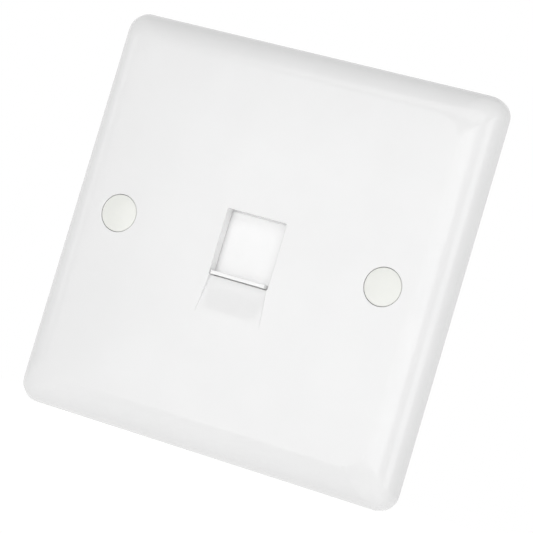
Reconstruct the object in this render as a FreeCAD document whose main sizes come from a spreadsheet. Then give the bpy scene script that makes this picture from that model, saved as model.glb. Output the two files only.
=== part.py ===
"""Single-gang wall plate with one shuttered 8-way modular jack and rear wire terminals.

Frame: millimetres, +X right and +Z up as seen from the front, +Y into the wall. The origin is the centre
of the wall plane, on which the plate's rear rim lies, so the face is at negative Y.
"""
import FreeCAD, Part
import math
import os

import Sketcher

# Driving sizes: name, millimetres or count, meaning
SIZES = [
    ("plate_size", 86.0, "side of the square plate"),
    ("plate_depth", 8.8, "wall plane to face"),
    ("side_height", 2.0, "straight part of the plate's side"),
    ("plate_corner", 4.0, "corner radius seen from the front"),
    ("plate_wall", 2.2, "wall of the moulding"),
    ("inner_corner", 1.8, "corner radius of the hollow behind"),
    ("fixing_pitch", 60.3, "distance between the fixing screws"),
    ("boss_diameter", 11.5, "screw boss behind the plate"),
    ("boss_setback", 0.5, "boss end in front of the wall plane"),
    ("recess_depth", 4.0, "depth of the screw head recess"),
    ("rib_thickness", 1.4, "stiffening ribs"),
    ("thread_diameter", 3.5, "fixing screw thread"),
    ("neck_diameter", 3.1, "plain neck under the screw head"),
    ("hole_clearance", 0.3, "radial, screw in its plain hole"),
    ("screw_length", 25.0, "fixing screw under its head"),
    ("head_diameter", 6.0, "fixing screw head"),
    ("head_height", 2.0, "fixing screw head"),
    ("driver_slot_width", 0.9, "slot in the fixing screw head"),
    ("driver_slot_depth", 1.0, "slot in the fixing screw head"),
    ("cap_diameter", 7.75, "push-in screw cap"),
    ("cap_gap", 0.15, "radial, cap in its recess"),
    ("cap_thickness", 1.0, "cap disc"),
    ("cap_skirt", 0.55, "wall of the cap's skirt"),
    ("cap_edge", 0.2, "bevelled edge of the cap"),
    ("port_width", 13.4, "port opening"),
    ("port_height", 14.1, "port opening"),
    ("port_corner", 0.3, "port corner radius"),
    ("collar_wall", 1.2, "collar round the port"),
    ("running_gap", 0.25, "between the shutter and what guides it"),
    ("panel_recess", 3.0, "shutter panel behind the face"),
    ("panel_thickness", 2.2, "shutter panel"),
    ("panel_overlap", 1.5, "panel hidden beside the port"),
    ("lip_thickness", 0.8, "finger lip, measured up the plate"),
    ("lip_side_gap", 0.6, "lip to the side of the port"),
    ("lip_rest_gap", 0.2, "lip to the bottom of the port when closed"),
    ("lip_stand", 0.8, "lip in front of the face"),
    ("lip_edge", 0.2, "rounded edge of the lip"),
    ("seat_width", 4.4, "spring seat on the shutter"),
    ("seat_height", 1.3, "spring seat on the shutter"),
    ("shutter_travel", 12.4, "closed to open"),
    ("spring_diameter", 2.6, "outside of the coil"),
    ("spring_wire", 0.3, "spring wire"),
    ("spring_turns", 4.75, "turns of the coil"),
    ("spring_solid", 4.3, "spring length with the shutter open"),
    ("spring_clearance", 0.05, "coil end to its seat"),
    ("peg_width", 1.3, "square pegs inside the coil"),
    ("peg_length", 1.6, "pegs inside the coil"),
    ("ramp_top_width", 12.8, "finger recess at the port"),
    ("ramp_end_width", 14.7, "finger recess at its far end"),
    ("ramp_length", 8.2, "finger recess below the port"),
    ("ramp_depth", 0.9, "finger recess at the port"),
    ("guide_wall", 1.5, "walls of the shutter guide"),
    ("stop_height", 1.5, "closed stops under the panel"),
    ("flange_thickness", 1.6, "carrier flange"),
    ("flange_foot", 9.6, "carrier flange below the port centre"),
    ("ear_height", 6.8, "carrier screw ears"),
    ("ear_radius", 3.0, "carrier screw ears and bosses"),
    ("carrier_pitch", 27.0, "distance between the carrier screws"),
    ("tube_wall", 1.4, "carrier sleeve round the jack"),
    ("fit_gap", 0.15, "between parts that are pressed together by hand"),
    ("small_thread", 2.2, "carrier screw"),
    ("small_length", 5.4, "carrier screw under its head"),
    ("small_head", 4.2, "carrier screw head"),
    ("small_head_height", 1.5, "carrier screw head"),
    ("pilot_gap", 0.05, "radial, carrier screw in its pilot hole"),
    ("pilot_depth", 4.3, "pilot hole in the carrier boss"),
    ("jack_width", 15.2, "jack body"),
    ("jack_height", 13.4, "jack body"),
    ("jack_depth", 13.35, "jack body, mouth to board"),
    ("jack_rise", 0.5, "jack centre above the port centre"),
    ("cavity_width", 11.9, "plug cavity"),
    ("cavity_top", 5.5, "plug cavity above the port centre"),
    ("cavity_height", 6.8, "plug cavity"),
    ("latch_width", 6.1, "wide step of the latch opening"),
    ("latch_drop", 1.7, "wide step below the cavity"),
    ("notch_width", 3.5, "narrow step of the latch opening"),
    ("notch_drop", 3.2, "narrow step below the cavity"),
    ("mouth_wall", 1.45, "front wall of the jack"),
    ("latch_room", 7.5, "length of the space behind the latch shoulders"),
    ("roof_recess", 0.95, "space for the contacts over the cavity"),
    ("insert_start", 9.35, "mouth to contact insert"),
    ("insert_length", 2.0, "contact insert"),
    ("contact_pitch", 1.02, "between contacts"),
    ("contact_width", 0.42, "contact strip"),
    ("contact_thickness", 0.32, "contact strip"),
    ("contact_bend", 0.8, "radius of the front bend"),
    ("contact_reach", 2.75, "mouth to the centre of the front bend"),
    ("contact_slope", 18.0, "degrees, free end against the roof"),
    ("contact_length", 6.6, "straight free end of a contact"),
    ("tail_step", 2.54, "between the two rows of contact tails"),
    ("tail_setback", 0.8, "tail bends in front of the board"),
    ("tail_stand", 1.2, "tails behind the board"),
    ("board_width", 34.0, "circuit board"),
    ("board_height", 29.0, "circuit board"),
    ("board_thickness", 1.6, "circuit board"),
    ("tail_hole", 0.75, "board hole for a contact tail"),
    ("peg_hole", 3.2, "board hole for a jack peg"),
    ("jack_peg", 2.8, "jack peg diameter"),
    ("jack_peg_pitch", 11.4, "distance between the jack pegs"),
    ("jack_peg_drop", 4.9, "jack pegs below the jack centre"),
    ("hook_width", 4.4, "board hooks on the carrier"),
    ("hook_thickness", 1.2, "board hooks on the carrier"),
    ("hook_barb", 0.7, "barb over the board"),
    ("hook_length", 1.6, "barb along the hook"),
    ("block_pitch", 24.0, "distance between the terminal blocks"),
    ("block_width", 7.0, "terminal block"),
    ("block_height", 10.0, "terminal block behind the board"),
    ("post_thickness", 2.5, "posts of the terminal block"),
    ("wire_slot", 1.5, "slot for a wire"),
    ("slot_depth", 6.8, "slot for a wire"),
    ("mouth_flare", 0.5, "widening of a wire slot at its mouth"),
    ("blade_width", 3.3, "terminal blade"),
    ("blade_thickness", 0.5, "terminal blade"),
    ("blade_height", 8.8, "terminal blade behind the board"),
    ("blade_slit", 0.3, "slit of the terminal blade"),
    ("blade_gap", 0.15, "blade in its channel"),
    ("blade_tail", 0.8, "tail width of the terminal blade"),
    ("blade_tail_hole", 1.15, "board hole for a blade tail"),
]

WAYS = 8  # contacts of the jack, shared between the two terminal blocks
SHOULDER_STEPS = 8  # sections of the rounded border
HOLLOW_STEPS = 3  # sections of the hollow under the border
BEND_STEPS = 3  # straight runs round the front bend of a contact

# Places across the plate, from the port centre
PORT_HALF = "(Sizes.port_width / 2)"
PORT_TOP = "(Sizes.port_height / 2)"
LIP_BOTTOM = "(Sizes.lip_rest_gap - Sizes.port_height / 2)"
LIP_TOP = f"({LIP_BOTTOM} + Sizes.lip_thickness)"
COLLAR_TOP = f"({PORT_TOP} + Sizes.collar_wall)"
PANEL_HALF = f"({PORT_HALF} + Sizes.panel_overlap)"
SEAT_BOTTOM = f"({COLLAR_TOP} + Sizes.running_gap)"
PANEL_TOP = f"({SEAT_BOTTOM} + Sizes.seat_height)"
SPRING_TOP = f"({PANEL_TOP} + Sizes.shutter_travel + Sizes.spring_solid)"
GUIDE_HALF = f"({PANEL_HALF} + Sizes.running_gap)"
GUIDE_OUTER = f"({GUIDE_HALF} + Sizes.guide_wall)"
GUIDE_TOP = f"({SPRING_TOP} + Sizes.guide_wall)"
STOP_TOP = f"({LIP_BOTTOM} - Sizes.running_gap)"
STOP_BOTTOM = f"({STOP_TOP} - Sizes.stop_height)"
STOP_INNER = f"({PORT_HALF} + Sizes.running_gap)"
JACK_TOP = "(Sizes.jack_rise + Sizes.jack_height / 2)"
BORE_HALF = "(Sizes.jack_width / 2 + Sizes.fit_gap)"
BORE_REACH = "(Sizes.jack_height / 2 + Sizes.fit_gap)"
CAVITY_BOTTOM = "(Sizes.cavity_top - Sizes.cavity_height)"
RUN_HEIGHT = "(Sizes.cavity_top + Sizes.roof_recess / 2)"

# Depths, measured forward from the wall plane
FACE = "Sizes.plate_depth"
INNER = f"({FACE} - Sizes.plate_wall)"
WALL_MIDDLE = f"({FACE} - Sizes.plate_wall / 2)"
HEAD_SEAT = f"({FACE} - Sizes.recess_depth)"
PANEL_FRONT = f"({FACE} - Sizes.panel_recess)"
PANEL_BACK = f"({PANEL_FRONT} - Sizes.panel_thickness)"
COLLAR_END = f"({PANEL_FRONT} + Sizes.running_gap)"
MOUTH = f"({PANEL_BACK} - Sizes.running_gap)"
FLANGE_BACK = f"({MOUTH} - Sizes.flange_thickness)"
SPRING_AXIS = f"(({INNER} + {PANEL_BACK}) / 2)"
BOARD_FRONT = f"({MOUTH} - Sizes.jack_depth)"
BOARD_BACK = f"({BOARD_FRONT} - Sizes.board_thickness)"
INSERT_FRONT = f"({MOUTH} - Sizes.insert_start)"
SHOULDER_RADIUS = f"({FACE} - Sizes.side_height)"

# Pitches of the terminal blocks
WIRE_PITCH = "(Sizes.post_thickness + Sizes.wire_slot)"
BLOCK_LENGTH = f"({WIRE_PITCH} * {WAYS // 2} + Sizes.post_thickness)"

doc = FreeCAD.newDocument("wall_socket")


def make_sheet():
    """Spreadsheet of the driving sizes, one row each with its alias."""
    sheet = doc.addObject("Spreadsheet::Sheet", "Sizes")
    for row, (alias, value, meaning) in enumerate(SIZES, start=1):
        sheet.set(f"A{row}", alias)
        sheet.set(f"B{row}", str(value))
        sheet.set(f"C{row}", meaning)
        sheet.setAlias(f"B{row}", alias)
    doc.recompute()
    return sheet


sizes = make_sheet()


def number(expression):
    """Present value of an expression."""
    return float(sizes.evalExpression(expression))


def new_body(label):
    """Body for one piece."""
    body = doc.addObject("PartDesign::Body", label)
    body.Label = label
    return body


def set_place(body, across="0", up="0"):
    """Puts a body that is modelled about its own axis at its place on the plate."""
    body.setExpression("Placement.Base.x", across)
    body.setExpression("Placement.Base.z", up)


def new_sketch(body, name, offset, role="XZ_Plane"):
    """Sketch on one of the body's own planes, moved along the plane's normal.

    The normals are: XZ forward, out of the wall; XY up; YZ to the right.
    """
    sketch = body.newObject("Sketcher::SketchObject", name)
    plane = next(f for f in body.Origin.OriginFeatures if f.Role == role)
    sketch.AttachmentSupport = [(plane, "")]
    sketch.MapMode = "FlatFace"
    sketch.setExpression("AttachmentOffset.Base.z", offset)
    return sketch


def constrain(sketch, constraint, expression):
    """Adds a constraint whose size follows an expression."""
    index = sketch.addConstraint(constraint)
    sketch.setExpression(f"Constraints[{index}]", expression)


def fix_point(sketch, geometry, end, point):
    """Holds a point of the sketch at a pair of expressions."""
    across, along = point
    constrain(sketch, Sketcher.Constraint("DistanceX", -1, 1, geometry, end, number(across)), across)
    constrain(sketch, Sketcher.Constraint("DistanceY", -1, 1, geometry, end, number(along)), along)


def vector(point):
    """Present place of a pair of expressions in the sketch."""
    return FreeCAD.Vector(number(point[0]), number(point[1]), 0)


def polygon(sketch, points):
    """Closed outline through points given as pairs of expressions."""
    count = len(points)
    lines = []
    for index in range(count):
        edge = Part.LineSegment(vector(points[index]), vector(points[(index + 1) % count]))
        lines.append(sketch.addGeometry(edge, False))
    for index, line in enumerate(lines):
        following = lines[(index + 1) % count]
        sketch.addConstraint(Sketcher.Constraint("Coincident", line, 2, following, 1))
        fix_point(sketch, line, 1, points[index])


def rectangle(sketch, left, bottom, right, top):
    """Rectangle between two corners."""
    polygon(sketch, [(left, bottom), (right, bottom), (right, top), (left, top)])


def circle(sketch, across, along, radius):
    """Circle about a place."""
    geometry = sketch.addGeometry(
        Part.Circle(vector((across, along)), FreeCAD.Vector(0, 0, 1), number(radius)), False
    )
    fix_point(sketch, geometry, 3, (across, along))
    constrain(sketch, Sketcher.Constraint("Radius", geometry, number(radius)), radius)


def octagon(sketch, across, along, width):
    """Eight-sided outline about a place, of a width across its flats: a small round drawn with few faces."""
    half = f"({width} / 2)"
    part = f"({half} * tan(22.5 deg))"
    reach = [(half, part), (part, half), (f"-{part}", half), (f"-{half}", part)]
    reach += [(f"-{half}", f"-{part}"), (f"-{part}", f"-{half}"), (part, f"-{half}"), (half, f"-{part}")]
    polygon(sketch, [(f"({across} + {x})", f"({along} + {y})") for x, y in reach])


def rounded_rectangle(sketch, half_width, half_height, radius):
    """Rectangle about the origin, with four equal round corners, drawn counter-clockwise from lower right."""
    arcs = []
    for index, (side, level) in enumerate([(1, -1), (1, 1), (-1, 1), (-1, -1)]):
        centre = (f"({side} * ({half_width} - {radius}))", f"({level} * ({half_height} - {radius}))")
        start_angle = math.radians(-90 + 90 * index)
        whole = Part.Circle(vector(centre), FreeCAD.Vector(0, 0, 1), number(radius))
        corner = Part.ArcOfCircle(whole, start_angle, start_angle + math.pi / 2)
        arcs.append(sketch.addGeometry(corner, False))
        fix_point(sketch, arcs[-1], 3, centre)
        constrain(sketch, Sketcher.Constraint("Radius", arcs[-1], number(radius)), radius)
    for index, arc in enumerate(arcs):
        following = arcs[(index + 1) % 4]
        side = Part.LineSegment(sketch.Geometry[arc].EndPoint, sketch.Geometry[following].StartPoint)
        edge = sketch.addGeometry(side, False)
        sketch.addConstraint(Sketcher.Constraint("Tangent", arc, 2, edge, 1))
        sketch.addConstraint(Sketcher.Constraint("Tangent", edge, 2, following, 1))


def pad(body, sketch, length, backwards=False, symmetric=False):
    """Adds the sketch's area over a length along the sketch's normal."""
    feature = body.newObject("PartDesign::Pad", f"{sketch.Name}_pad")
    feature.Profile = sketch
    feature.setExpression("Length", length)
    feature.Reversed = backwards
    if symmetric:
        feature.SideType = "Symmetric"
    return feature


def pocket(body, sketch, length=None, along_normal=False):
    """Removes the sketch's area against the sketch's normal, or along it; without a length, right through."""
    feature = body.newObject("PartDesign::Pocket", f"{sketch.Name}_pocket")
    feature.Profile = sketch
    if length is None:
        feature.Type = "ThroughAll"
    else:
        feature.setExpression("Length", length)
    feature.Reversed = along_normal
    return feature


def loft(body, kind, name, sections):
    """Additive or subtractive loft with straight walls between the sections in order."""
    feature = body.newObject(f"PartDesign::{kind}Loft", name)
    feature.Profile = sections[0]
    feature.Sections = sections[1:]
    feature.Ruled = True
    return feature


def revolve(body, sketch):
    """Full turn about the sketch's vertical axis."""
    feature = body.newObject("PartDesign::Revolution", f"{sketch.Name}_revolution")
    feature.Profile = sketch
    feature.ReferenceAxis = (sketch, ["V_Axis"])
    feature.Angle = 360
    return feature


def repeat(body, feature, plane, axis, count, pitch):
    """Row of copies of a feature along an axis of its sketch."""
    row = body.newObject("PartDesign::LinearPattern", f"{feature.Name}_row")
    row.Originals = [feature]
    row.Direction = (plane, [axis])
    row.setExpression("Length", f"{pitch} * {count - 1}")
    row.Occurrences = count
    body.Tip = row
    return row


def border_section(body, name, inset, offset, corner):
    """Outline of the plate at one level of its border."""
    sketch = new_sketch(body, name, offset)
    half = f"(Sizes.plate_size / 2 - {inset})"
    rounded_rectangle(sketch, half, half, corner)
    return sketch


def border_sections(body, name, wall, corner, steps):
    """Outlines up the rounded border, of the outside or, with a wall, of the hollow under it."""
    sections = []
    for step in range(steps + 1):
        angle = 90.0 * step / steps
        inset = f"({SHOULDER_RADIUS} - ({SHOULDER_RADIUS} - {wall}) * cos({angle} deg))"
        offset = f"Sizes.side_height + ({SHOULDER_RADIUS} - {wall}) * sin({angle} deg)"
        sections.append(border_section(body, f"{name}_{step}", inset, offset, corner))
    return sections


def make_faceplate():
    """Moulded plate: rounded border, hollow back, bosses, port collar, shutter guide and finger recess."""
    body = new_body("faceplate")
    outline = border_section(body, "rim_outline", "0", "0", "Sizes.plate_corner")
    pad(body, outline, "Sizes.side_height")
    outside = border_sections(body, "border", "0", "Sizes.plate_corner", SHOULDER_STEPS)
    loft(body, "Additive", "border_loft", outside)
    hollow = border_section(body, "hollow_outline", "Sizes.plate_wall", "0", "Sizes.inner_corner")
    pocket(body, hollow, "Sizes.side_height", along_normal=True)
    inside = border_sections(body, "hollow", "Sizes.plate_wall", "Sizes.inner_corner", HOLLOW_STEPS)
    loft(body, "Subtractive", "hollow_loft", inside)
    add_screw_bosses(body)
    add_ribs(body)
    add_collar_and_guide(body)
    cut_screw_holes(body)
    cut_port(body)
    cut_finger_recess(body)
    return body


def add_screw_bosses(body):
    """Round bosses behind the fixing holes and behind the carrier screws."""
    bosses = new_sketch(body, "screw_bosses", "Sizes.boss_setback")
    for side in ("-", ""):
        circle(bosses, f"({side}Sizes.fixing_pitch / 2)", "0", "Sizes.boss_diameter / 2")
    pad(body, bosses, f"{WALL_MIDDLE} - Sizes.boss_setback")
    carrier_bosses = new_sketch(body, "carrier_bosses", MOUTH)
    for side in ("-", ""):
        circle(carrier_bosses, f"({side}Sizes.carrier_pitch / 2)", "0", "Sizes.ear_radius")
    pad(body, carrier_bosses, f"{WALL_MIDDLE} - {MOUTH}")


def add_ribs(body):
    """Level ribs between the bosses and out to the skirt, the outer ones shaped to the curved wall."""
    turn = f"({SHOULDER_RADIUS} - Sizes.plate_wall / 2)"
    bend = f"(Sizes.plate_size / 2 - {SHOULDER_RADIUS})"
    boss_outer = "(Sizes.fixing_pitch / 2 + Sizes.boss_diameter / 2 - Sizes.rib_thickness)"
    boss_inner = "(Sizes.fixing_pitch / 2 - Sizes.boss_diameter / 2 + Sizes.rib_thickness)"
    carrier_side = "(Sizes.carrier_pitch / 2 + Sizes.ear_radius - Sizes.rib_thickness)"
    low = f"(-{MOUTH} - Sizes.running_gap)"
    high = f"(-{WALL_MIDDLE})"
    for name, side in (("left", "-1"), ("right", "1")):
        outer = new_sketch(body, f"{name}_outer_rib", "0", "XY_Plane")
        polygon(
            outer,
            [
                (f"{side} * {boss_outer}", low),
                (f"{side} * ({bend} + {turn})", low),
                (f"{side} * ({bend} + {turn} * cos(45 deg))", f"(-Sizes.side_height - {turn} * sin(45 deg))"),
                (f"{side} * {bend}", high),
                (f"{side} * {boss_outer}", high),
            ],
        )
        pad(body, outer, "Sizes.rib_thickness", symmetric=True)
        inner = new_sketch(body, f"{name}_inner_rib", "0", "XY_Plane")
        rectangle(inner, f"{side} * {carrier_side}", low, f"{side} * {boss_inner}", high)
        pad(body, inner, "Sizes.rib_thickness", symmetric=True)


def add_collar_and_guide(body):
    """Collar round the port, then the frame that the shutter slides in, with its stops and spring peg."""
    collar = new_sketch(body, "port_collar", COLLAR_END)
    rounded_rectangle(
        collar,
        f"({PORT_HALF} + Sizes.collar_wall)",
        COLLAR_TOP,
        "Sizes.port_corner",
    )
    pad(body, collar, f"{WALL_MIDDLE} - {COLLAR_END}")
    guide = new_sketch(body, "shutter_guide", MOUTH)
    polygon(
        guide,
        [
            (f"-{GUIDE_OUTER}", STOP_BOTTOM),
            (f"-{STOP_INNER}", STOP_BOTTOM),
            (f"-{STOP_INNER}", STOP_TOP),
            (f"-{GUIDE_HALF}", STOP_TOP),
            (f"-{GUIDE_HALF}", SPRING_TOP),
            (GUIDE_HALF, SPRING_TOP),
            (GUIDE_HALF, STOP_TOP),
            (STOP_INNER, STOP_TOP),
            (STOP_INNER, STOP_BOTTOM),
            (GUIDE_OUTER, STOP_BOTTOM),
            (GUIDE_OUTER, GUIDE_TOP),
            (f"-{GUIDE_OUTER}", GUIDE_TOP),
        ],
    )
    pad(body, guide, f"{WALL_MIDDLE} - {MOUTH}")
    peg = new_sketch(body, "upper_spring_peg", SPRING_TOP, "XY_Plane")
    draw_peg(peg)
    pad(body, peg, "Sizes.peg_length", backwards=True)


def draw_peg(sketch):
    """Square section of a peg inside the shutter spring."""
    half = "Sizes.peg_width / 2"
    rectangle(sketch, f"-{half}", f"(-{SPRING_AXIS} - {half})", half, f"({half} - {SPRING_AXIS})")


def cut_screw_holes(body):
    """Head recesses and plain holes of the fixing screws, and the pilot holes of the carrier screws."""
    recesses = new_sketch(body, "cap_recesses", FACE)
    holes = new_sketch(body, "screw_holes", FACE)
    for side in ("-", ""):
        place = f"({side}Sizes.fixing_pitch / 2)"
        circle(recesses, place, "0", "(Sizes.cap_diameter / 2 + Sizes.cap_gap)")
        circle(holes, place, "0", "(Sizes.thread_diameter / 2 + Sizes.hole_clearance)")
    pocket(body, recesses, "Sizes.recess_depth")
    pocket(body, holes)
    pilots = new_sketch(body, "pilot_holes", MOUTH)
    for side in ("-", ""):
        place = f"({side}Sizes.carrier_pitch / 2)"
        circle(pilots, place, "0", "(Sizes.small_thread / 2 + Sizes.pilot_gap)")
    pocket(body, pilots, "Sizes.pilot_depth", along_normal=True)


def cut_port(body):
    """Port opening through the face and its collar."""
    port = new_sketch(body, "port_opening", FACE)
    rounded_rectangle(port, PORT_HALF, PORT_TOP, "Sizes.port_corner")
    pocket(body, port)


def cut_finger_recess(body):
    """Shallow wedge below the port, deepest at the port and flaring towards its far end."""
    port_bottom = f"(-{PORT_TOP})"
    inside_port = f"({port_bottom} + Sizes.collar_wall)"
    far_end = f"({port_bottom} - Sizes.ramp_length)"
    at_face = new_sketch(body, "recess_at_face", FACE)
    at_depth = new_sketch(body, "recess_at_depth", f"{FACE} - Sizes.ramp_depth")
    top_half = "(Sizes.ramp_top_width / 2)"
    end_half = "(Sizes.ramp_end_width / 2)"
    outlines = ((at_face, far_end, end_half), (at_depth, port_bottom, top_half))
    for sketch, low, low_half in outlines:
        polygon(
            sketch,
            [
                (f"-{top_half}", inside_port),
                (f"-{low_half}", low),
                (low_half, low),
                (top_half, inside_port),
            ],
        )
    loft(body, "Subtractive", "finger_recess", [at_face, at_depth])


def make_shutter():
    """Sliding panel with a finger lip in front and a spring seat on top."""
    body = new_body("shutter")
    panel = new_sketch(body, "panel", PANEL_BACK)
    rectangle(panel, f"-{PANEL_HALF}", LIP_BOTTOM, PANEL_HALF, PANEL_TOP)
    pad(body, panel, "Sizes.panel_thickness")
    lip = new_sketch(body, "finger_lip", PANEL_BACK)
    lip_half = f"({PORT_HALF} - Sizes.lip_side_gap)"
    rectangle(lip, f"-{lip_half}", LIP_BOTTOM, lip_half, LIP_TOP)
    lip_pad = pad(body, lip, f"{FACE} + Sizes.lip_stand - {PANEL_BACK}")
    doc.recompute()
    round_lip(body, lip_pad)
    seat = new_sketch(body, "spring_seat", PANEL_BACK)
    rectangle(seat, "-Sizes.seat_width / 2", SEAT_BOTTOM, "Sizes.seat_width / 2", PANEL_TOP)
    pad(body, seat, f"{INNER} - Sizes.running_gap - {PANEL_BACK}")
    peg = new_sketch(body, "lower_spring_peg", PANEL_TOP, "XY_Plane")
    draw_peg(peg)
    pad(body, peg, "Sizes.peg_length")
    return body


def round_lip(body, lip_pad):
    """Rounds the edges of the lip's front face."""
    front = number(f"{FACE} + Sizes.lip_stand")
    names = []
    for index, edge in enumerate(lip_pad.Shape.Edges, start=1):
        if all(abs(vertex.Point.y + front) < 1e-4 for vertex in edge.Vertexes):
            names.append(f"Edge{index}")
    fillet = body.newObject("PartDesign::Fillet", "lip_edges")
    fillet.Base = (lip_pad, names)
    fillet.setExpression("Radius", "Sizes.lip_edge")


def make_screw_cap(label, side):
    """Round cap with a bevelled edge and a skirt that stands on the floor of the head recess."""
    body = new_body(label)
    profile = new_sketch(body, "cap_profile", "0", "XY_Plane")
    outer = "(Sizes.cap_diameter / 2)"
    inner = f"({outer} - Sizes.cap_skirt)"
    under = f"(Sizes.cap_thickness - {FACE})"
    polygon(
        profile,
        [
            ("0", f"-{FACE}"),
            (f"({outer} - Sizes.cap_edge)", f"-{FACE}"),
            (outer, f"(Sizes.cap_edge - {FACE})"),
            (outer, f"-{HEAD_SEAT}"),
            (inner, f"-{HEAD_SEAT}"),
            (inner, under),
            ("0", under),
        ],
    )
    revolve(body, profile)
    set_place(body, across=f"{side} * Sizes.fixing_pitch / 2")
    return body


def make_fixing_screw(label, side):
    """Slotted machine screw, its thread drawn as a plain cylinder from the wall plane on."""
    body = new_body(label)
    profile = new_sketch(body, "screw_profile", "0", "XY_Plane")
    thread = "(Sizes.thread_diameter / 2)"
    tip = f"(Sizes.screw_length - {HEAD_SEAT})"
    head = "(Sizes.head_diameter / 2)"
    head_top = f"(-{HEAD_SEAT} - Sizes.head_height)"
    polygon(
        profile,
        [
            ("0", head_top),
            (head, head_top),
            (head, f"-{HEAD_SEAT}"),
            ("Sizes.neck_diameter / 2", f"-{HEAD_SEAT}"),
            ("Sizes.neck_diameter / 2", "0"),
            (thread, "0"),
            (thread, tip),
            ("0", tip),
        ],
    )
    revolve(body, profile)
    slot = new_sketch(body, "driver_slot", f"{HEAD_SEAT} + Sizes.head_height")
    half_slot = "Sizes.driver_slot_width / 2"
    rectangle(slot, f"-{half_slot}", "-Sizes.head_diameter", half_slot, "Sizes.head_diameter")
    pocket(body, slot, "Sizes.driver_slot_depth")
    set_place(body, across=f"{side} * Sizes.fixing_pitch / 2")
    return body


def make_spring():
    """Compression spring between the shutter's seat and the top of the guide, as a square-section coil."""
    body = new_body("shutter_spring")
    section = new_sketch(body, "wire_section", SPRING_AXIS)
    low = f"({PANEL_TOP} + Sizes.spring_clearance)"
    outer = "(Sizes.spring_diameter / 2)"
    rectangle(section, f"({outer} - Sizes.spring_wire)", low, outer, f"({low} + Sizes.spring_wire)")
    coil = body.newObject("PartDesign::AdditiveHelix", "coil")
    coil.Profile = section
    coil.ReferenceAxis = (section, ["V_Axis"])
    coil.Mode = "height-turns-angle"
    coil.setExpression(
        "Height", f"{SPRING_TOP} - {PANEL_TOP} - Sizes.spring_wire - 2 * Sizes.spring_clearance"
    )
    coil.setExpression("Turns", "Sizes.spring_turns")
    return body


def make_carrier():
    """Frame behind the shutter: flange with screw ears, sleeve round the jack and two board hooks."""
    body = new_body("module_carrier")
    flange = new_sketch(body, "flange", FLANGE_BACK)
    rectangle(flange, f"-{GUIDE_OUTER}", "-Sizes.flange_foot", GUIDE_OUTER, GUIDE_TOP)
    pad(body, flange, "Sizes.flange_thickness")
    ears = new_sketch(body, "screw_ears", FLANGE_BACK)
    rounded_rectangle(
        ears,
        "(Sizes.carrier_pitch / 2 + Sizes.ear_radius)",
        "Sizes.ear_height / 2",
        "(Sizes.ear_radius - Sizes.running_gap)",
    )
    pad(body, ears, "Sizes.flange_thickness")
    sleeve = new_sketch(body, "jack_sleeve", BOARD_FRONT)
    sleeve_half = f"({BORE_HALF} + Sizes.tube_wall)"
    sleeve_reach = f"({BORE_REACH} + Sizes.tube_wall)"
    rectangle(
        sleeve,
        f"-{sleeve_half}",
        f"(Sizes.jack_rise - {sleeve_reach})",
        sleeve_half,
        f"(Sizes.jack_rise + {sleeve_reach})",
    )
    pad(body, sleeve, f"{FLANGE_BACK} - {BOARD_FRONT}")
    bore = new_sketch(body, "jack_bore", MOUTH)
    rectangle(
        bore,
        f"-{BORE_HALF}",
        f"(Sizes.jack_rise - {BORE_REACH})",
        BORE_HALF,
        f"(Sizes.jack_rise + {BORE_REACH})",
    )
    pocket(body, bore)
    holes = new_sketch(body, "ear_holes", MOUTH)
    for side in ("-", ""):
        place = f"({side}Sizes.carrier_pitch / 2)"
        circle(holes, place, "0", "(Sizes.small_thread / 2 + Sizes.hole_clearance)")
    pocket(body, holes, "Sizes.flange_thickness")
    add_hook(body, "upper_hook", 1)
    add_hook(body, "lower_hook", -1)
    return body


def add_hook(body, name, side):
    """Hook that passes through the board beside the sleeve's wall and holds its rear face."""
    sketch = new_sketch(body, name, "0", "YZ_Plane")
    board_back = f"(Sizes.fit_gap - {BOARD_BACK})"
    tip = f"({board_back} + Sizes.hook_length)"
    inner = f"(Sizes.jack_rise + {side} * {BORE_REACH})"
    outer = f"({inner} + {side} * Sizes.hook_thickness)"
    barb = f"({outer} + {side} * Sizes.hook_barb)"
    inside_wall = f"(-{BOARD_FRONT} - Sizes.tube_wall)"
    polygon(
        sketch,
        [
            (inside_wall, inner),
            (tip, inner),
            (tip, outer),
            (board_back, barb),
            (board_back, outer),
            (inside_wall, outer),
        ],
    )
    pad(body, sketch, "Sizes.hook_width", symmetric=True)


def make_carrier_screw(label, side):
    """Small thread-forming screw with a cross recess, its thread drawn as a plain cylinder."""
    body = new_body(label)
    profile = new_sketch(body, "screw_profile", "0", "XY_Plane")
    thread = "(Sizes.small_thread / 2)"
    head = "(Sizes.small_head / 2)"
    seat = f"(-{FLANGE_BACK})"
    tip = f"({seat} - Sizes.small_length)"
    head_top = f"({seat} + Sizes.small_head_height)"
    polygon(
        profile,
        [
            ("0", tip),
            (thread, tip),
            (thread, seat),
            (head, seat),
            (head, head_top),
            ("0", head_top),
        ],
    )
    revolve(body, profile)
    recess = new_sketch(body, "cross_recess", f"-{head_top}")
    wide = "(Sizes.small_head / 4)"
    narrow = "(Sizes.small_head / 14)"
    polygon(
        recess,
        [
            (f"-{wide}", f"-{narrow}"),
            (f"-{narrow}", f"-{narrow}"),
            (f"-{narrow}", f"-{wide}"),
            (narrow, f"-{wide}"),
            (narrow, f"-{narrow}"),
            (wide, f"-{narrow}"),
            (wide, narrow),
            (narrow, narrow),
            (narrow, wide),
            (f"-{narrow}", wide),
            (f"-{narrow}", narrow),
            (f"-{wide}", narrow),
        ],
    )
    pocket(body, recess, "Sizes.small_head_height / 2", along_normal=True)
    set_place(body, across=f"{side} * Sizes.carrier_pitch / 2")
    return body


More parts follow.
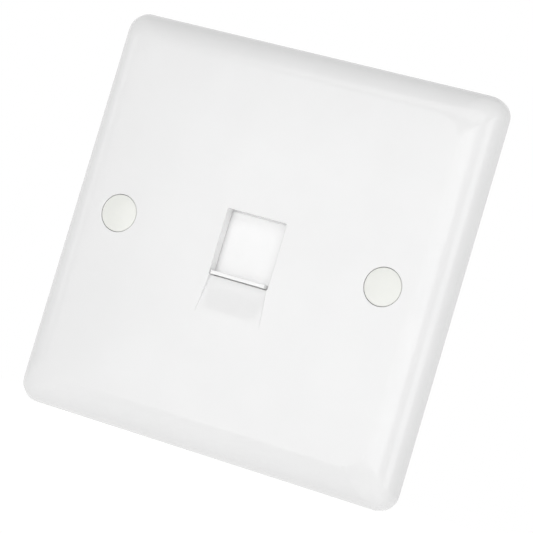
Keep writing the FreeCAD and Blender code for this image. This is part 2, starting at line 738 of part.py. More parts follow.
def make_jack():
    """Jack body: stepped plug opening, latch shoulders behind its front wall, contact space in the roof."""
    body = new_body("jack_housing")
    block = new_sketch(body, "jack_block", BOARD_FRONT)
    bottom = "(Sizes.jack_rise - Sizes.jack_height / 2)"
    rectangle(block, "-Sizes.jack_width / 2", bottom, "Sizes.jack_width / 2", JACK_TOP)
    pad(body, block, "Sizes.jack_depth")
    cavity_half = "(Sizes.cavity_width / 2)"
    cavity = new_sketch(body, "plug_cavity", MOUTH)
    rectangle(cavity, f"-{cavity_half}", CAVITY_BOTTOM, cavity_half, "Sizes.cavity_top")
    pocket(body, cavity)
    latch = new_sketch(body, "latch_opening", MOUTH)
    latch_half = "(Sizes.latch_width / 2)"
    notch_half = "(Sizes.notch_width / 2)"
    step = f"({CAVITY_BOTTOM} - Sizes.latch_drop)"
    foot = f"({CAVITY_BOTTOM} - Sizes.notch_drop)"
    polygon(
        latch,
        [
            (f"-{notch_half}", foot),
            (notch_half, foot),
            (notch_half, step),
            (latch_half, step),
            (latch_half, f"({CAVITY_BOTTOM} + Sizes.fit_gap)"),
            (f"-{latch_half}", f"({CAVITY_BOTTOM} + Sizes.fit_gap)"),
            (f"-{latch_half}", step),
            (f"-{notch_half}", step),
        ],
    )
    pocket(body, latch, "Sizes.mouth_wall + Sizes.fit_gap")
    room = new_sketch(body, "latch_room", f"{MOUTH} - Sizes.mouth_wall")
    rectangle(room, f"-{latch_half}", foot, latch_half, f"({CAVITY_BOTTOM} + Sizes.fit_gap)")
    pocket(body, room, "Sizes.latch_room")
    roof = new_sketch(body, "contact_space", f"{MOUTH} - Sizes.mouth_wall")
    roof_half = f"(Sizes.contact_pitch * {WAYS + 1} / 2)"
    roof_top = "(Sizes.cavity_top + Sizes.roof_recess)"
    rectangle(roof, f"-{roof_half}", "(Sizes.cavity_top - Sizes.fit_gap)", roof_half, roof_top)
    pocket(body, roof)
    pegs = new_sketch(body, "jack_pegs", f"{BOARD_BACK} - Sizes.fit_gap")
    for side in ("-", ""):
        place = f"({side}Sizes.jack_peg_pitch / 2)"
        octagon(pegs, place, "(Sizes.jack_rise - Sizes.jack_peg_drop)", "Sizes.jack_peg")
    pad(body, pegs, "Sizes.board_thickness + 2 * Sizes.fit_gap")
    return body


def contact_place(index):
    """Distance of one contact from the middle of the row."""
    return f"(Sizes.contact_pitch * {index - (WAYS - 1) / 2})"


def make_insert():
    """Insert that closes the back of the cavity, with a comb for the contacts along its top."""
    body = new_body("contact_insert")
    block = new_sketch(body, "insert_block", f"{INSERT_FRONT} - Sizes.insert_length")
    half = "(Sizes.cavity_width / 2 - Sizes.fit_gap)"
    ridge_half = f"(Sizes.contact_pitch * {WAYS + 1} / 2 - Sizes.fit_gap)"
    shoulder = "(Sizes.cavity_top - Sizes.fit_gap)"
    ridge_top = "(Sizes.cavity_top + Sizes.roof_recess - Sizes.fit_gap)"
    polygon(
        block,
        [
            (f"-{half}", f"({CAVITY_BOTTOM} + Sizes.fit_gap)"),
            (half, f"({CAVITY_BOTTOM} + Sizes.fit_gap)"),
            (half, shoulder),
            (ridge_half, shoulder),
            (ridge_half, ridge_top),
            (f"-{ridge_half}", ridge_top),
            (f"-{ridge_half}", shoulder),
            (f"-{half}", shoulder),
        ],
    )
    pad(body, block, "Sizes.insert_length")
    slot = new_sketch(body, "comb_slot", INSERT_FRONT)
    half_slot = "(Sizes.contact_width / 2 + Sizes.fit_gap / 2)"
    first = contact_place(0)
    floor = f"({RUN_HEIGHT} - Sizes.contact_thickness / 2 - Sizes.fit_gap / 2)"
    rectangle(slot, f"({first} - {half_slot})", floor, f"({first} + {half_slot})", f"({ridge_top} + 1)")
    cut = pocket(body, slot)
    repeat(body, cut, slot, "H_Axis", WAYS, "Sizes.contact_pitch")
    return body


def bent_line(sketch, points):
    """Open path of straight runs through the points."""
    runs = []
    for start, end in zip(points, points[1:]):
        runs.append(sketch.addGeometry(Part.LineSegment(vector(start), vector(end)), False))
        fix_point(sketch, runs[-1], 1, start)
    fix_point(sketch, runs[-1], 2, points[-1])
    for run, following in zip(runs, runs[1:]):
        sketch.addConstraint(Sketcher.Constraint("Coincident", run, 2, following, 1))


def contact_points(stepped):
    """Centre line of a contact (into the wall, up): tail, run along the roof, front bend, sprung free end."""
    tail = f"(Sizes.tail_stand - {BOARD_BACK})"
    points = [(tail, RUN_HEIGHT)]
    if stepped:
        low = f"({RUN_HEIGHT} - Sizes.tail_step)"
        step = f"(-{BOARD_FRONT} - Sizes.tail_setback)"
        points = [(tail, low), (step, low), (step, RUN_HEIGHT)]
    radius = "Sizes.contact_bend"
    bend_at = f"(Sizes.contact_reach - {MOUTH})"
    centre = f"({RUN_HEIGHT} - {radius})"
    for share in range(BEND_STEPS + 1):
        angle = f"(90 + {share / BEND_STEPS} * (180 - Sizes.contact_slope)) * 1 deg"
        points.append((f"({bend_at} + {radius} * cos({angle}))", f"({centre} + {radius} * sin({angle}))"))
    low_end = points[-1]
    slope = "Sizes.contact_slope * 1 deg"
    points.append(
        (
            f"({low_end[0]} + Sizes.contact_length * cos({slope}))",
            f"({low_end[1]} - Sizes.contact_length * sin({slope}))",
        )
    )
    return points


def make_contact(index):
    """Flat strip bent to the shape of a jack contact; every other tail steps down to a second row."""
    body = new_body(f"contact_{index + 1}")
    stepped = index % 2 == 1
    path = new_sketch(body, "centre_line", "0", "YZ_Plane")
    bent_line(path, contact_points(stepped))
    section = new_sketch(body, "strip_section", f"{BOARD_BACK} - Sizes.tail_stand")
    half_width = "(Sizes.contact_width / 2)"
    middle = f"({RUN_HEIGHT} - Sizes.tail_step * {int(stepped)})"
    low = f"({middle} - Sizes.contact_thickness / 2)"
    high = f"({middle} + Sizes.contact_thickness / 2)"
    rectangle(section, f"-{half_width}", low, half_width, high)
    doc.recompute()
    strip = body.newObject("PartDesign::AdditivePipe", "strip")
    strip.Profile = section
    strip.Spine = (path, [f"Edge{edge + 1}" for edge in range(len(path.Shape.Edges))])
    strip.Transition = "Right corner"
    set_place(body, across=contact_place(index))
    return body


def blade_rows():
    """Heights of the four wires of a terminal block, from the bottom."""
    count = WAYS // 2
    return [f"(Sizes.jack_rise + {WIRE_PITCH} * {row - (count - 1) / 2})" for row in range(count)]


def make_board():
    """Circuit board with holes for the tails and pegs and slots for the hooks."""
    body = new_body("circuit_board")
    outline = new_sketch(body, "board_outline", BOARD_BACK)
    half_width = "(Sizes.board_width / 2)"
    low = "(Sizes.jack_rise - Sizes.board_height / 2)"
    high = "(Sizes.jack_rise + Sizes.board_height / 2)"
    rectangle(outline, f"-{half_width}", low, half_width, high)
    pad(body, outline, "Sizes.board_thickness")
    slots = new_sketch(body, "hook_slots", BOARD_FRONT)
    half = "(Sizes.hook_width / 2 + 2 * Sizes.fit_gap)"
    for side in (1, -1):
        inner = f"(Sizes.jack_rise + {side} * ({BORE_REACH} - 2 * Sizes.fit_gap))"
        outer = f"({inner} + {side} * (Sizes.hook_thickness + 4 * Sizes.fit_gap))"
        low, high = (inner, outer) if side > 0 else (outer, inner)
        rectangle(slots, f"-{half}", low, half, high)
    pocket(body, slots)
    peg_holes = new_sketch(body, "peg_holes", BOARD_FRONT)
    tail_holes = new_sketch(body, "tail_holes", BOARD_FRONT)
    blade_holes = new_sketch(body, "blade_holes", BOARD_FRONT)
    for index in range(2):
        row = f"({RUN_HEIGHT} - Sizes.tail_step * {index})"
        octagon(tail_holes, contact_place(index), row, "Sizes.tail_hole")
    for side in ("-", ""):
        place = f"({side}Sizes.jack_peg_pitch / 2)"
        octagon(peg_holes, place, "(Sizes.jack_rise - Sizes.jack_peg_drop)", "Sizes.peg_hole")
        octagon(blade_holes, f"({side}Sizes.block_pitch / 2)", blade_rows()[0], "Sizes.blade_tail_hole")
    pocket(body, peg_holes)
    cut = pocket(body, tail_holes)
    repeat(body, cut, tail_holes, "H_Axis", WAYS // 2, "(2 * Sizes.contact_pitch)")
    cut = pocket(body, blade_holes)
    repeat(body, cut, blade_holes, "V_Axis", WAYS // 2, WIRE_PITCH)
    return body


def make_block(label, side):
    """Terminal block: posts with flared wire slots between them, and a channel for each blade."""
    body = new_body(label)
    block_back = f"({BOARD_BACK} - Sizes.block_height)"
    base = new_sketch(body, "block_base", block_back)
    half_width = "(Sizes.block_width / 2)"
    half_length = f"({BLOCK_LENGTH} / 2)"
    rectangle(base, f"-{half_width}", f"-{half_length}", half_width, half_length)
    pad(body, base, "Sizes.block_height")
    count = WAYS // 2
    first = f"({WIRE_PITCH} * {-(count - 1) / 2})"
    slot = new_sketch(body, "wire_slot", half_width, "YZ_Plane")
    half_slot = "(Sizes.wire_slot / 2)"
    half_mouth = "(Sizes.wire_slot / 2 + Sizes.mouth_flare)"
    top = f"(-{block_back} + Sizes.fit_gap)"
    flare = f"(-{block_back} - 2 * Sizes.mouth_flare)"
    floor = f"(-{block_back} - Sizes.slot_depth)"
    polygon(
        slot,
        [
            (floor, f"({first} - {half_slot})"),
            (floor, f"({first} + {half_slot})"),
            (flare, f"({first} + {half_slot})"),
            (top, f"({first} + {half_mouth})"),
            (top, f"({first} - {half_mouth})"),
            (flare, f"({first} - {half_slot})"),
        ],
    )
    slot_cut = pocket(body, slot)
    repeat(body, slot_cut, slot, "V_Axis", count, WIRE_PITCH)
    channel = new_sketch(body, "blade_channel", BOARD_BACK)
    half_channel = "(Sizes.blade_thickness / 2 + Sizes.blade_gap)"
    half_blade = "(Sizes.blade_width / 2 + Sizes.blade_gap)"
    rectangle(
        channel,
        f"-{half_channel}",
        f"({first} - {half_blade})",
        half_channel,
        f"({first} + {half_blade})",
    )
    channel_cut = pocket(body, channel)
    repeat(body, channel_cut, channel, "V_Axis", count, WIRE_PITCH)
    set_place(body, across=f"{side} * Sizes.block_pitch / 2", up="Sizes.jack_rise")
    return body


def make_blade(index):
    """Forked blade with a tail through the board."""
    body = new_body(f"idc_blade_{index + 1}")
    fork = new_sketch(body, "fork", "0", "YZ_Plane")
    seat = f"(-{BOARD_BACK})"
    top = f"({seat} + Sizes.blade_height)"
    tail_end = f"(-{BOARD_FRONT} - Sizes.tail_setback)"
    half_tail = "(Sizes.blade_tail / 2)"
    half = "(Sizes.blade_width / 2)"
    half_slit = "(Sizes.blade_slit / 2)"
    slit_end = f"({top} - Sizes.slot_depth + Sizes.blade_slit)"
    mouth = f"({top} - Sizes.blade_width / 4)"
    polygon(
        fork,
        [
            (tail_end, f"-{half_tail}"),
            (seat, f"-{half_tail}"),
            (seat, f"-{half}"),
            (top, f"-{half}"),
            (mouth, f"-{half_slit}"),
            (slit_end, f"-{half_slit}"),
            (slit_end, half_slit),
            (mouth, half_slit),
            (top, half),
            (seat, half),
            (seat, half_tail),
            (tail_end, half_tail),
        ],
    )
    pad(body, fork, "Sizes.blade_thickness", symmetric=True)
    count = WAYS // 2
    side = -1 if index < count else 1
    set_place(body, across=f"{side} * Sizes.block_pitch / 2", up=blade_rows()[index % count])
    return body


def make_all():
    """Every piece of the socket."""
    pieces = [make_faceplate(), make_shutter(), make_spring(), make_carrier(), make_jack(), make_insert()]
    pieces += [make_board()]
    for name, side in (("left", -1), ("right", 1)):
        pieces.append(make_screw_cap(f"screw_cap_{name}", side))
        pieces.append(make_fixing_screw(f"fixing_screw_{name}", side))
        pieces.append(make_carrier_screw(f"carrier_screw_{name}", side))
        pieces.append(make_block(f"idc_block_{name}", side))
    for index in range(WAYS):
        pieces.append(make_contact(index))
        pieces.append(make_blade(index))
    return pieces


def check_document():
    """Stops on any object that failed to rebuild."""
    for item in doc.Objects:
        if {"Invalid", "Error"} & set(item.State):
            raise RuntimeError(f"{item.Name} failed: {item.State}")


def write_pieces(pieces):
    """Checks each piece's shape, then writes it to its own file."""
    os.makedirs("parts", exist_ok=True)
    for piece in pieces:
        shape = piece.Shape
        if shape.isNull() or not shape.isValid() or len(shape.Solids) != 1:
            raise RuntimeError(f"{piece.Label} isn't one valid solid")
    for piece in pieces:
        piece.Shape.exportStep(f"parts/{piece.Label}.step")
        print(f"{piece.Label}: {piece.Shape.Volume:.2f} mm3")


all_pieces = make_all()
doc.recompute()
check_document()
write_pieces(all_pieces)
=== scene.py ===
"""Looks for a square wall plate with a shuttered network socket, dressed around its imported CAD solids."""

from __future__ import annotations

import logging
import math
from dataclasses import dataclass
from enum import Enum
from typing import Any, Sequence

import bmesh
import bpy
from mathutils import Euler, Matrix, Vector

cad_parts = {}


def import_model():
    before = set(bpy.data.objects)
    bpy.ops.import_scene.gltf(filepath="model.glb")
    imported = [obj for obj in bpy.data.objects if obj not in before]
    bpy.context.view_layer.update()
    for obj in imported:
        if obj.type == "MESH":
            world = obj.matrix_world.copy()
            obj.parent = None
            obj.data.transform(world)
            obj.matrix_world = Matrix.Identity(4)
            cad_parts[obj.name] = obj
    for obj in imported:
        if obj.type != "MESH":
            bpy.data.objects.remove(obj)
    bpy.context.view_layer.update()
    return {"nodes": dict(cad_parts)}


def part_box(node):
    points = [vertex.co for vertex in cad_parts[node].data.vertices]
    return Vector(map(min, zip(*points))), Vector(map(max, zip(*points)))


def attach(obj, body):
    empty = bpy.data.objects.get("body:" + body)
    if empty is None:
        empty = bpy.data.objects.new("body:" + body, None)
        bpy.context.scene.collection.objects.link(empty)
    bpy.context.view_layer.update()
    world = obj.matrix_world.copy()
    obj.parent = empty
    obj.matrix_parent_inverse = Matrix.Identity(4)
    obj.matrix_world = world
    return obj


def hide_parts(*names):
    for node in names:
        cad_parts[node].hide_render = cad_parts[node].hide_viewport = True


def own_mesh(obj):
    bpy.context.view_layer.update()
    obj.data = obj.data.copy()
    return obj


MM = 0.001
MERGE = 0.0005 * MM  # vertices closer than this are one
FIXING_PITCH = 60.3  # millimetres between the screws that hold the plate
MOULDED_CREASE = 24.0  # degrees from which an edge of a moulding stays sharp
PLASTIC_IOR = 1.5
LOG = logging.getLogger("wall_socket")
SOCKET = "socket"
SHUTTER = "shutter"
Nodes = dict[str, bpy.types.Object]
Point = tuple[float, float, float]
Flat = tuple[float, float]  # point of a turned profile or on the board
Socket = bpy.types.NodeSocket


# Small helpers


def linear(hex_colour: str) -> tuple[float, float, float, float]:
    """Turn an sRGB colour into the linear one that shaders take.

    Args:
        hex_colour: Colour as "#rrggbb".

    Returns:
        Linear red, green and blue, with an alpha of 1.
    """
    parts = (int(hex_colour[start : start + 2], 16) / 255 for start in (1, 3, 5))
    colour = [part / 12.92 if part <= 0.04045 else ((part + 0.055) / 1.055) ** 2.4 for part in parts]
    return (*colour, 1.0)


def add_node(
    tree: bpy.types.NodeTree, kind: str, inputs: dict[str | int, Any] | None = None, **settings: Any
) -> bpy.types.NodeOutputs:
    """Add a node with its settings, values and links.

    Args:
        tree: Tree that gets the node.
        kind: Blender's name of the node type.
        inputs: Value, socket or list of sockets for each input, by name or index.
        **settings: Properties of the node itself.

    Returns:
        The outputs of the new node.
    """
    node = tree.nodes.new(kind)
    for name, value in settings.items():
        setattr(node, name, value)
    for key, value in (inputs or {}).items():
        for source in value if isinstance(value, list) else [value]:
            if isinstance(source, Socket):
                tree.links.new(source, node.inputs[key])
            else:
                node.inputs[key].default_value = source
    return node.outputs


def new_object(name: str, data: bpy.types.ID) -> bpy.types.Object:
    """Put a mesh, a lamp or a camera into the scene as an object at the origin.

    Args:
        name: Name of the object.
        data: What it shows; a mesh is already in its place.

    Returns:
        The linked object.
    """
    piece = bpy.data.objects.new(name, data)
    bpy.context.scene.collection.objects.link(piece)
    return piece


def dress(piece: bpy.types.Object, material: bpy.types.Material) -> None:
    """Give a piece one material over all its faces.

    Args:
        piece: CAD node or new piece.
        material: Its finish.
    """
    if piece.material_slots:
        piece.material_slots[0].material = material
    else:
        piece.data.materials.append(material)


def shade_smooth(mesh: bpy.types.Mesh, crease: float) -> None:
    """Shade a mesh smooth, apart from edges sharper than a crease angle.

    Args:
        mesh: Mesh with merged vertices.
        crease: Angle in degrees from which an edge stays sharp.
    """
    mesh.polygons.foreach_set("use_smooth", [True] * len(mesh.polygons))
    mesh.set_sharp_from_angle(angle=math.radians(crease))


def arc(centre: Flat, radius: float, start: float, end: float, steps: int) -> list[Flat]:
    """Points along an arc of a turned profile.

    Args:
        centre: Centre as (distance from the axis, place along it).
        radius: Radius of the arc.
        start: First angle in degrees.
        end: Last angle in degrees.
        steps: Number of steps between them.

    Returns:
        The points, both ends among them.
    """
    angles = (math.radians(start + (end - start) * step / steps) for step in range(steps + 1))
    return [(centre[0] + radius * math.cos(angle), centre[1] + radius * math.sin(angle)) for angle in angles]


def lathe(name: str, profile: Sequence[Flat], segments: int, across: float) -> bpy.types.Mesh:
    """Turn a profile, given in millimetres, about an axis that runs into the wall.

    Args:
        name: Name of the mesh.
        profile: Points as (distance from the axis, place along it), from one end of the axis to the other.
        segments: Number of segments in a full turn.
        across: Distance of the axis from the plate's middle.

    Returns:
        A closed mesh with its faces outwards.
    """
    bm = bmesh.new()
    verts = [bm.verts.new((radius * MM, along * MM, 0.0)) for radius, along in profile]
    edges = [bm.edges.new(pair) for pair in zip(verts, verts[1:])]
    turn = {"cent": (0.0, 0.0, 0.0), "axis": (0.0, 1.0, 0.0), "angle": math.tau, "steps": segments}
    bmesh.ops.spin(bm, geom=[*verts, *edges], **turn)
    bmesh.ops.remove_doubles(bm, verts=bm.verts, dist=MERGE)
    bmesh.ops.recalc_face_normals(bm, faces=bm.faces)
    mesh = bpy.data.meshes.new(name)
    bm.to_mesh(mesh)
    bm.free()
    mesh.transform(Matrix.Translation((across * MM, 0.0, 0.0)))
    return mesh


def wires(name: str, lines: Sequence[Sequence[Point]]) -> bpy.types.Mesh:
    """Make a mesh of loose polylines, the paths that a node tree follows.

    Args:
        name: Name of the mesh.
        lines: Polylines, each a list of points in millimetres.

    Returns:
        A mesh with one chain of edges for each line.
    """
    points: list[Vector] = []
    edges: list[tuple[int, int]] = []
    for line in lines:
        first = len(points)
        points += [Vector(point) * MM for point in line]
        edges += [(first + step, first + step + 1) for step in range(len(line) - 1)]
    mesh = bpy.data.meshes.new(name)
    mesh.from_pydata(points, edges, [])
    return mesh


def settle(piece: bpy.types.Object, body: str, replaces: Sequence[str] = ()) -> bpy.types.Object:
    """Tie a finished piece to its body and to the CAD nodes it stands for.

    Args:
        piece: Piece in its place.
        body: CAD body that it moves with.
        replaces: CAD nodes that it is shown for.

    Returns:
        The same piece.
    """
    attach(piece, body)
    if replaces:
        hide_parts(*replaces)
    return piece


def moulded(
    nodes: Nodes, node: str, name: str, finish: bpy.types.Material, body: str = SOCKET
) -> bpy.types.Object:
    """Show a CAD node as a dressed copy of itself, one connected mesh whose curved faces shade smoothly.

    Args:
        nodes: CAD nodes by name.
        node: Name of the node.
        name: Name of the new piece.
        finish: Its material.
        body: CAD body that it moves with.

    Returns:
        The piece.
    """
    mesh = nodes[node].data.copy()
    mesh.name = name
    bm = bmesh.new()
    bm.from_mesh(mesh)
    bmesh.ops.remove_doubles(bm, verts=bm.verts, dist=MERGE)
    bm.to_mesh(mesh)
    bm.free()
    if mesh.has_custom_normals:
        mesh.attributes.remove(mesh.attributes["custom_normal"])
    shade_smooth(mesh, MOULDED_CREASE)
    piece = new_object(name, mesh)
    weights = piece.modifiers.new("face_weights", "WEIGHTED_NORMAL")
    weights.mode = "FACE_AREA"
    weights.keep_sharp = True
    dress(piece, finish)
    return settle(piece, body, [node])


# Finishes

# Between these two values lies nearly all of a noise pattern.
NOISE_RANGE = {"From Min": 0.3, "From Max": 0.7}


class Surface:
    """Start of a procedural material: its tree and the piece's own coordinates."""

    def __init__(self, name: str) -> None:
        """Make an empty material.

        Args:
            name: Name of the material.
        """
        self.material = bpy.data.materials.new(name)
        self.material.use_nodes = True
        self.tree = self.material.node_tree
        self.tree.nodes.clear()
        self.place = add_node(self.tree, "ShaderNodeTexCoord")["Object"]

    def blotches(self, size_mm: float, detail: float = 2.0, stretch: Point = (1.0, 1.0, 1.0)) -> Socket:
        """Add a pattern of soft blotches of a real size.

        Args:
            size_mm: Size of the largest blotches.
            detail: Number of finer layers.
            stretch: How much longer a blotch is along each axis.

        Returns:
            The pattern as a value about 0.5.
        """
        scale = Vector([1 / share for share in stretch])
        placed = add_node(self.tree, "ShaderNodeMapping", {"Vector": self.place, "Scale": scale})["Vector"]
        inputs = {"Vector": placed, "Scale": 1 / (size_mm * MM), "Detail": detail}
        return add_node(self.tree, "ShaderNodeTexNoise", inputs)["Fac"]

    def mottle(
        self, pattern: Socket, shades: tuple[str, str], roughness: float, spread: tuple[float, float]
    ) -> dict[str, Socket]:
        """Let the colour and the roughness of a skin drift with a pattern.

        Args:
            pattern: Blotches that both follow.
            shades: Two sRGB colours.
            roughness: Usual roughness.
            spread: Shares of it where the pattern is low and high.

        Returns:
            The shader's inputs by name.
        """
        share = add_node(self.tree, "ShaderNodeMapRange", {"Value": pattern, **NOISE_RANGE})["Result"]
        inputs = {0: share, 6: linear(shades[0]), 7: linear(shades[1])}
        colour = add_node(self.tree, "ShaderNodeMix", inputs, data_type="RGBA")[2]
        low, high = (roughness * part for part in spread)
        inputs = {"Value": pattern, **NOISE_RANGE, "To Min": low, "To Max": high}
        gloss = add_node(self.tree, "ShaderNodeMapRange", inputs)["Result"]
        return {"Base Color": colour, "Roughness": gloss}

    def finished(
        self, skin: dict[str, Any], relief: Sequence[tuple[Socket, float]], edge_mm: float = 0.0
    ) -> bpy.types.Material:
        """Close the material: soften its edges, lay its relief on them and add the shader.

        Args:
            skin: Value or socket of the shader's inputs, apart from the normal.
            relief: Patterns that give a height, each with its depth in millimetres.
            edge_mm: Radius of the softened edges, or 0 for sharp ones.

        Returns:
            The material.
        """
        normal: dict[str, Socket] = {}
        if edge_mm:
            soft = add_node(self.tree, "ShaderNodeBevel", {"Radius": edge_mm * MM}, samples=6)
            normal = {"Normal": soft["Normal"]}
        for pattern, depth in relief:
            inputs = {"Height": pattern, "Distance": depth * MM, "Strength": 1.0, **normal}
            normal = {"Normal": add_node(self.tree, "ShaderNodeBump", inputs)["Normal"]}
        shader = add_node(self.tree, "ShaderNodeBsdfPrincipled", {**skin, **normal})["BSDF"]
        add_node(self.tree, "ShaderNodeOutputMaterial", {"Surface": shader})
        return self.material


@dataclass(frozen=True)
class Bumps:
    """Bumps of a surface: size and depth in millimetres."""

    size: float
    depth: float


@dataclass(frozen=True)
class MouldedPlastic:
    """Injection or compression moulded plastic, its faces copied from a polished or an eroded mould."""

    name: str
    colour: str
    shade: str
    roughness: float
    grain: Bumps
    ripple: Bumps
    edge_mm: float
    spread: tuple[float, float] = (0.92, 1.08)

    def material(self) -> bpy.types.Material:
        """Build the material: faint flow clouds, uneven gloss, mould grain and softened edges.

        Returns:
            The material.
        """
        surface = Surface(self.name)
        clouds = surface.blotches(self.ripple.size, detail=3.0)
        skin = surface.mottle(clouds, (self.colour, self.shade), self.roughness, self.spread)
        ripple = (surface.blotches(self.ripple.size, detail=0.0), self.ripple.depth)
        grain = (surface.blotches(self.grain.size), self.grain.depth)
        return surface.finished({**skin, "IOR": PLASTIC_IOR}, (ripple, grain), self.edge_mm)


class Plating(Enum):
    """Metal skins used in the socket: material name, sRGB colour, duller sRGB colour and roughness."""

    # Zinc looks cool and bright, gold warm and sharp, tin duller, drawn wire dark and solder softly bright.
    ZINC = ("zinc_plated_steel", "#cfd0cc", "#b4b6b4", 0.27)
    GOLD = ("gold_plated_bronze", "#e6c37c", "#d3a95c", 0.2)
    TIN = ("tin_plated_brass", "#cfcfca", "#b9b9b4", 0.33)
    SPRING = ("drawn_spring_steel", "#b9bbbd", "#94979a", 0.22)
    SOLDER = ("reflowed_solder", "#c9cbcc", "#aeb0b1", 0.3)


@dataclass(frozen=True)
class PlatedMetal:
    """Thin metal skin on a drawn, stamped or turned part, slightly cloudy and finely streaked."""

    plating: Plating
    cloud_mm: float
    streak: Point = (1.0, 1.0, 1.0)
    streak_share: float = 0.15
    streak_depth_mm: float = 0.0015
    spread: tuple[float, float] = (0.8, 1.3)

    def material(self) -> bpy.types.Material:
        """Build the material: clouded colour and gloss, and fine streaks along the tool's way.

        Returns:
            The material.
        """
        name, bright, dull, roughness = self.plating.value
        surface = Surface(name)
        clouds = surface.blotches(self.cloud_mm, detail=3.0)
        skin = surface.mottle(clouds, (bright, dull), roughness, self.spread)
        streaks = surface.blotches(self.cloud_mm * self.streak_share, stretch=self.streak)
        return surface.finished({**skin, "Metallic": 1.0}, [(streaks, self.streak_depth_mm)])


# Scale at which the Wave Texture draws one wave, so two threads of the cloth, for two units of length.
WAVE_SCALE = 0.159


@dataclass(frozen=True)
class BoardLaminate:
    """Glass-cloth laminate under a green solder mask, with its bare edges sawn."""

    mask: str = "#14603a"
    mask_shade: str = "#115534"
    edge: str = "#b7b083"
    weave_mm: float = 0.55
    weave_depth_mm: float = 0.002
    roughness: float = 0.3
    sawn_roughness: float = 0.75

    def material(self) -> bpy.types.Material:
        """Build the material: woven glass shows faintly through the mask, and the sawn edge is bare.

        Returns:
            The material.
        """
        surface = Surface("masked_glass_laminate")
        tree = surface.tree
        scale = WAVE_SCALE / (self.weave_mm * MM)
        weave = {"Vector": surface.place, "Scale": scale, "Distortion": 0.6, "Detail": 1.0}
        threads = {
            index: add_node(tree, "ShaderNodeTexWave", weave, bands_direction=direction)["Fac"]
            for index, direction in enumerate(("X", "Z"))
        }
        cloth = add_node(tree, "ShaderNodeMath", threads, operation="MULTIPLY")[0]
        inputs = {0: cloth, 6: linear(self.mask_shade), 7: linear(self.mask)}
        mask = add_node(tree, "ShaderNodeMix", inputs, data_type="RGBA")[2]
        facing = add_node(tree, "ShaderNodeNewGeometry")["True Normal"]
        depth = add_node(tree, "ShaderNodeSeparateXYZ", {"Vector": facing})["Y"]
        flat = add_node(tree, "ShaderNodeMath", {0: depth}, operation="ABSOLUTE")[0]
        inputs = {"Value": flat, "From Min": 0.45, "From Max": 0.55}
        on_face = add_node(tree, "ShaderNodeMapRange", inputs)["Result"]
        inputs = {0: on_face, 6: linear(self.edge), 7: mask}
        colour = add_node(tree, "ShaderNodeMix", inputs, data_type="RGBA")[2]
        inputs = {"Value": on_face, "To Min": self.sawn_roughness, "To Max": self.roughness}
        gloss = add_node(tree, "ShaderNodeMapRange", inputs)["Result"]
        return surface.finished({"Base Color": colour, "Roughness": gloss}, [(cloth, self.weave_depth_mm)])


@dataclass(frozen=True)
class MaskedCopper:
    """Copper tracks seen through the solder mask, a lighter green than the bare laminate."""

    bright: str = "#2f8a55"
    dull: str = "#267547"
    roughness: float = 0.28
    etch: Bumps = Bumps(0.3, 0.003)

    def material(self) -> bpy.types.Material:
        """Build the material: slightly uneven mask over etched copper.

        Returns:
            The material.
        """
        surface = Surface("masked_copper_track")
        etched = surface.blotches(self.etch.size)
        skin = surface.mottle(etched, (self.bright, self.dull), self.roughness, (1.0, 1.0))
        return surface.finished(skin, [(etched, self.etch.depth)])


# Urea powder pressed in a polished mould: an even white with a soft gloss and hardly any grain.
PLATE_UREA = MouldedPlastic(
    "pressed_urea_plate", "#f4f4f4", "#f2f2f2", 0.16,
    grain=Bumps(0.35, 0.0006), ripple=Bumps(14.0, 0.006), edge_mm=0.22,
)
# Caps come from another batch, which the eye sees as a slightly warm, greenish white.
CAP_UREA = MouldedPlastic(
    "moulded_cap_white", "#f2f3ee", "#eff0eb", 0.2,
    grain=Bumps(0.3, 0.0008), ripple=Bumps(5.0, 0.003), edge_mm=0.1,
)
# Shutter of natural white acetal, smooth so that it glides; its nearly pure white, whiter than the plate, is
# partly its own colour and partly painted light that lifts the panel out of the shade of its recess.
SHUTTER_ACETAL_PAINTED_BRIGHT = MouldedPlastic(
    "moulded_shutter_acetal_painted_bright", "#fefefe", "#fcfcfc", 0.25,
    grain=Bumps(0.3, 0.0006), ripple=Bumps(6.0, 0.003), edge_mm=0.08,
)
# Carrier of matt ABS from an eroded mould, which scatters the light and shows a fine grain.
CARRIER_ABS = MouldedPlastic(
    "eroded_carrier_abs", "#e6e5e1", "#dfdeda", 0.5,
    grain=Bumps(0.25, 0.004), ripple=Bumps(8.0, 0.003), edge_mm=0.12,
)
# Jack of black nylon, which its glass fibres leave dull, uneven and a little grey.
JACK_NYLON = MouldedPlastic(
    "glass_filled_nylon_black", "#232325", "#2c2c2e", 0.48,
    grain=Bumps(0.3, 0.005), ripple=Bumps(2.5, 0.003), edge_mm=0.1,
)
# Comb of the same nylon from a finer mould, a little glossier.
COMB_NYLON = MouldedPlastic(
    "comb_nylon_black", "#29292b", "#202022", 0.4,
    grain=Bumps(0.3, 0.003), ripple=Bumps(2.0, 0.002), edge_mm=0.06,
)
# Terminal blocks of off-white polycarbonate, half glossy.
BLOCK_POLYCARBONATE = MouldedPlastic(
    "terminal_polycarbonate", "#e4e1d6", "#dcd9cd", 0.36,
    grain=Bumps(0.3, 0.002), ripple=Bumps(6.0, 0.003), edge_mm=0.12,
)


# Node trees


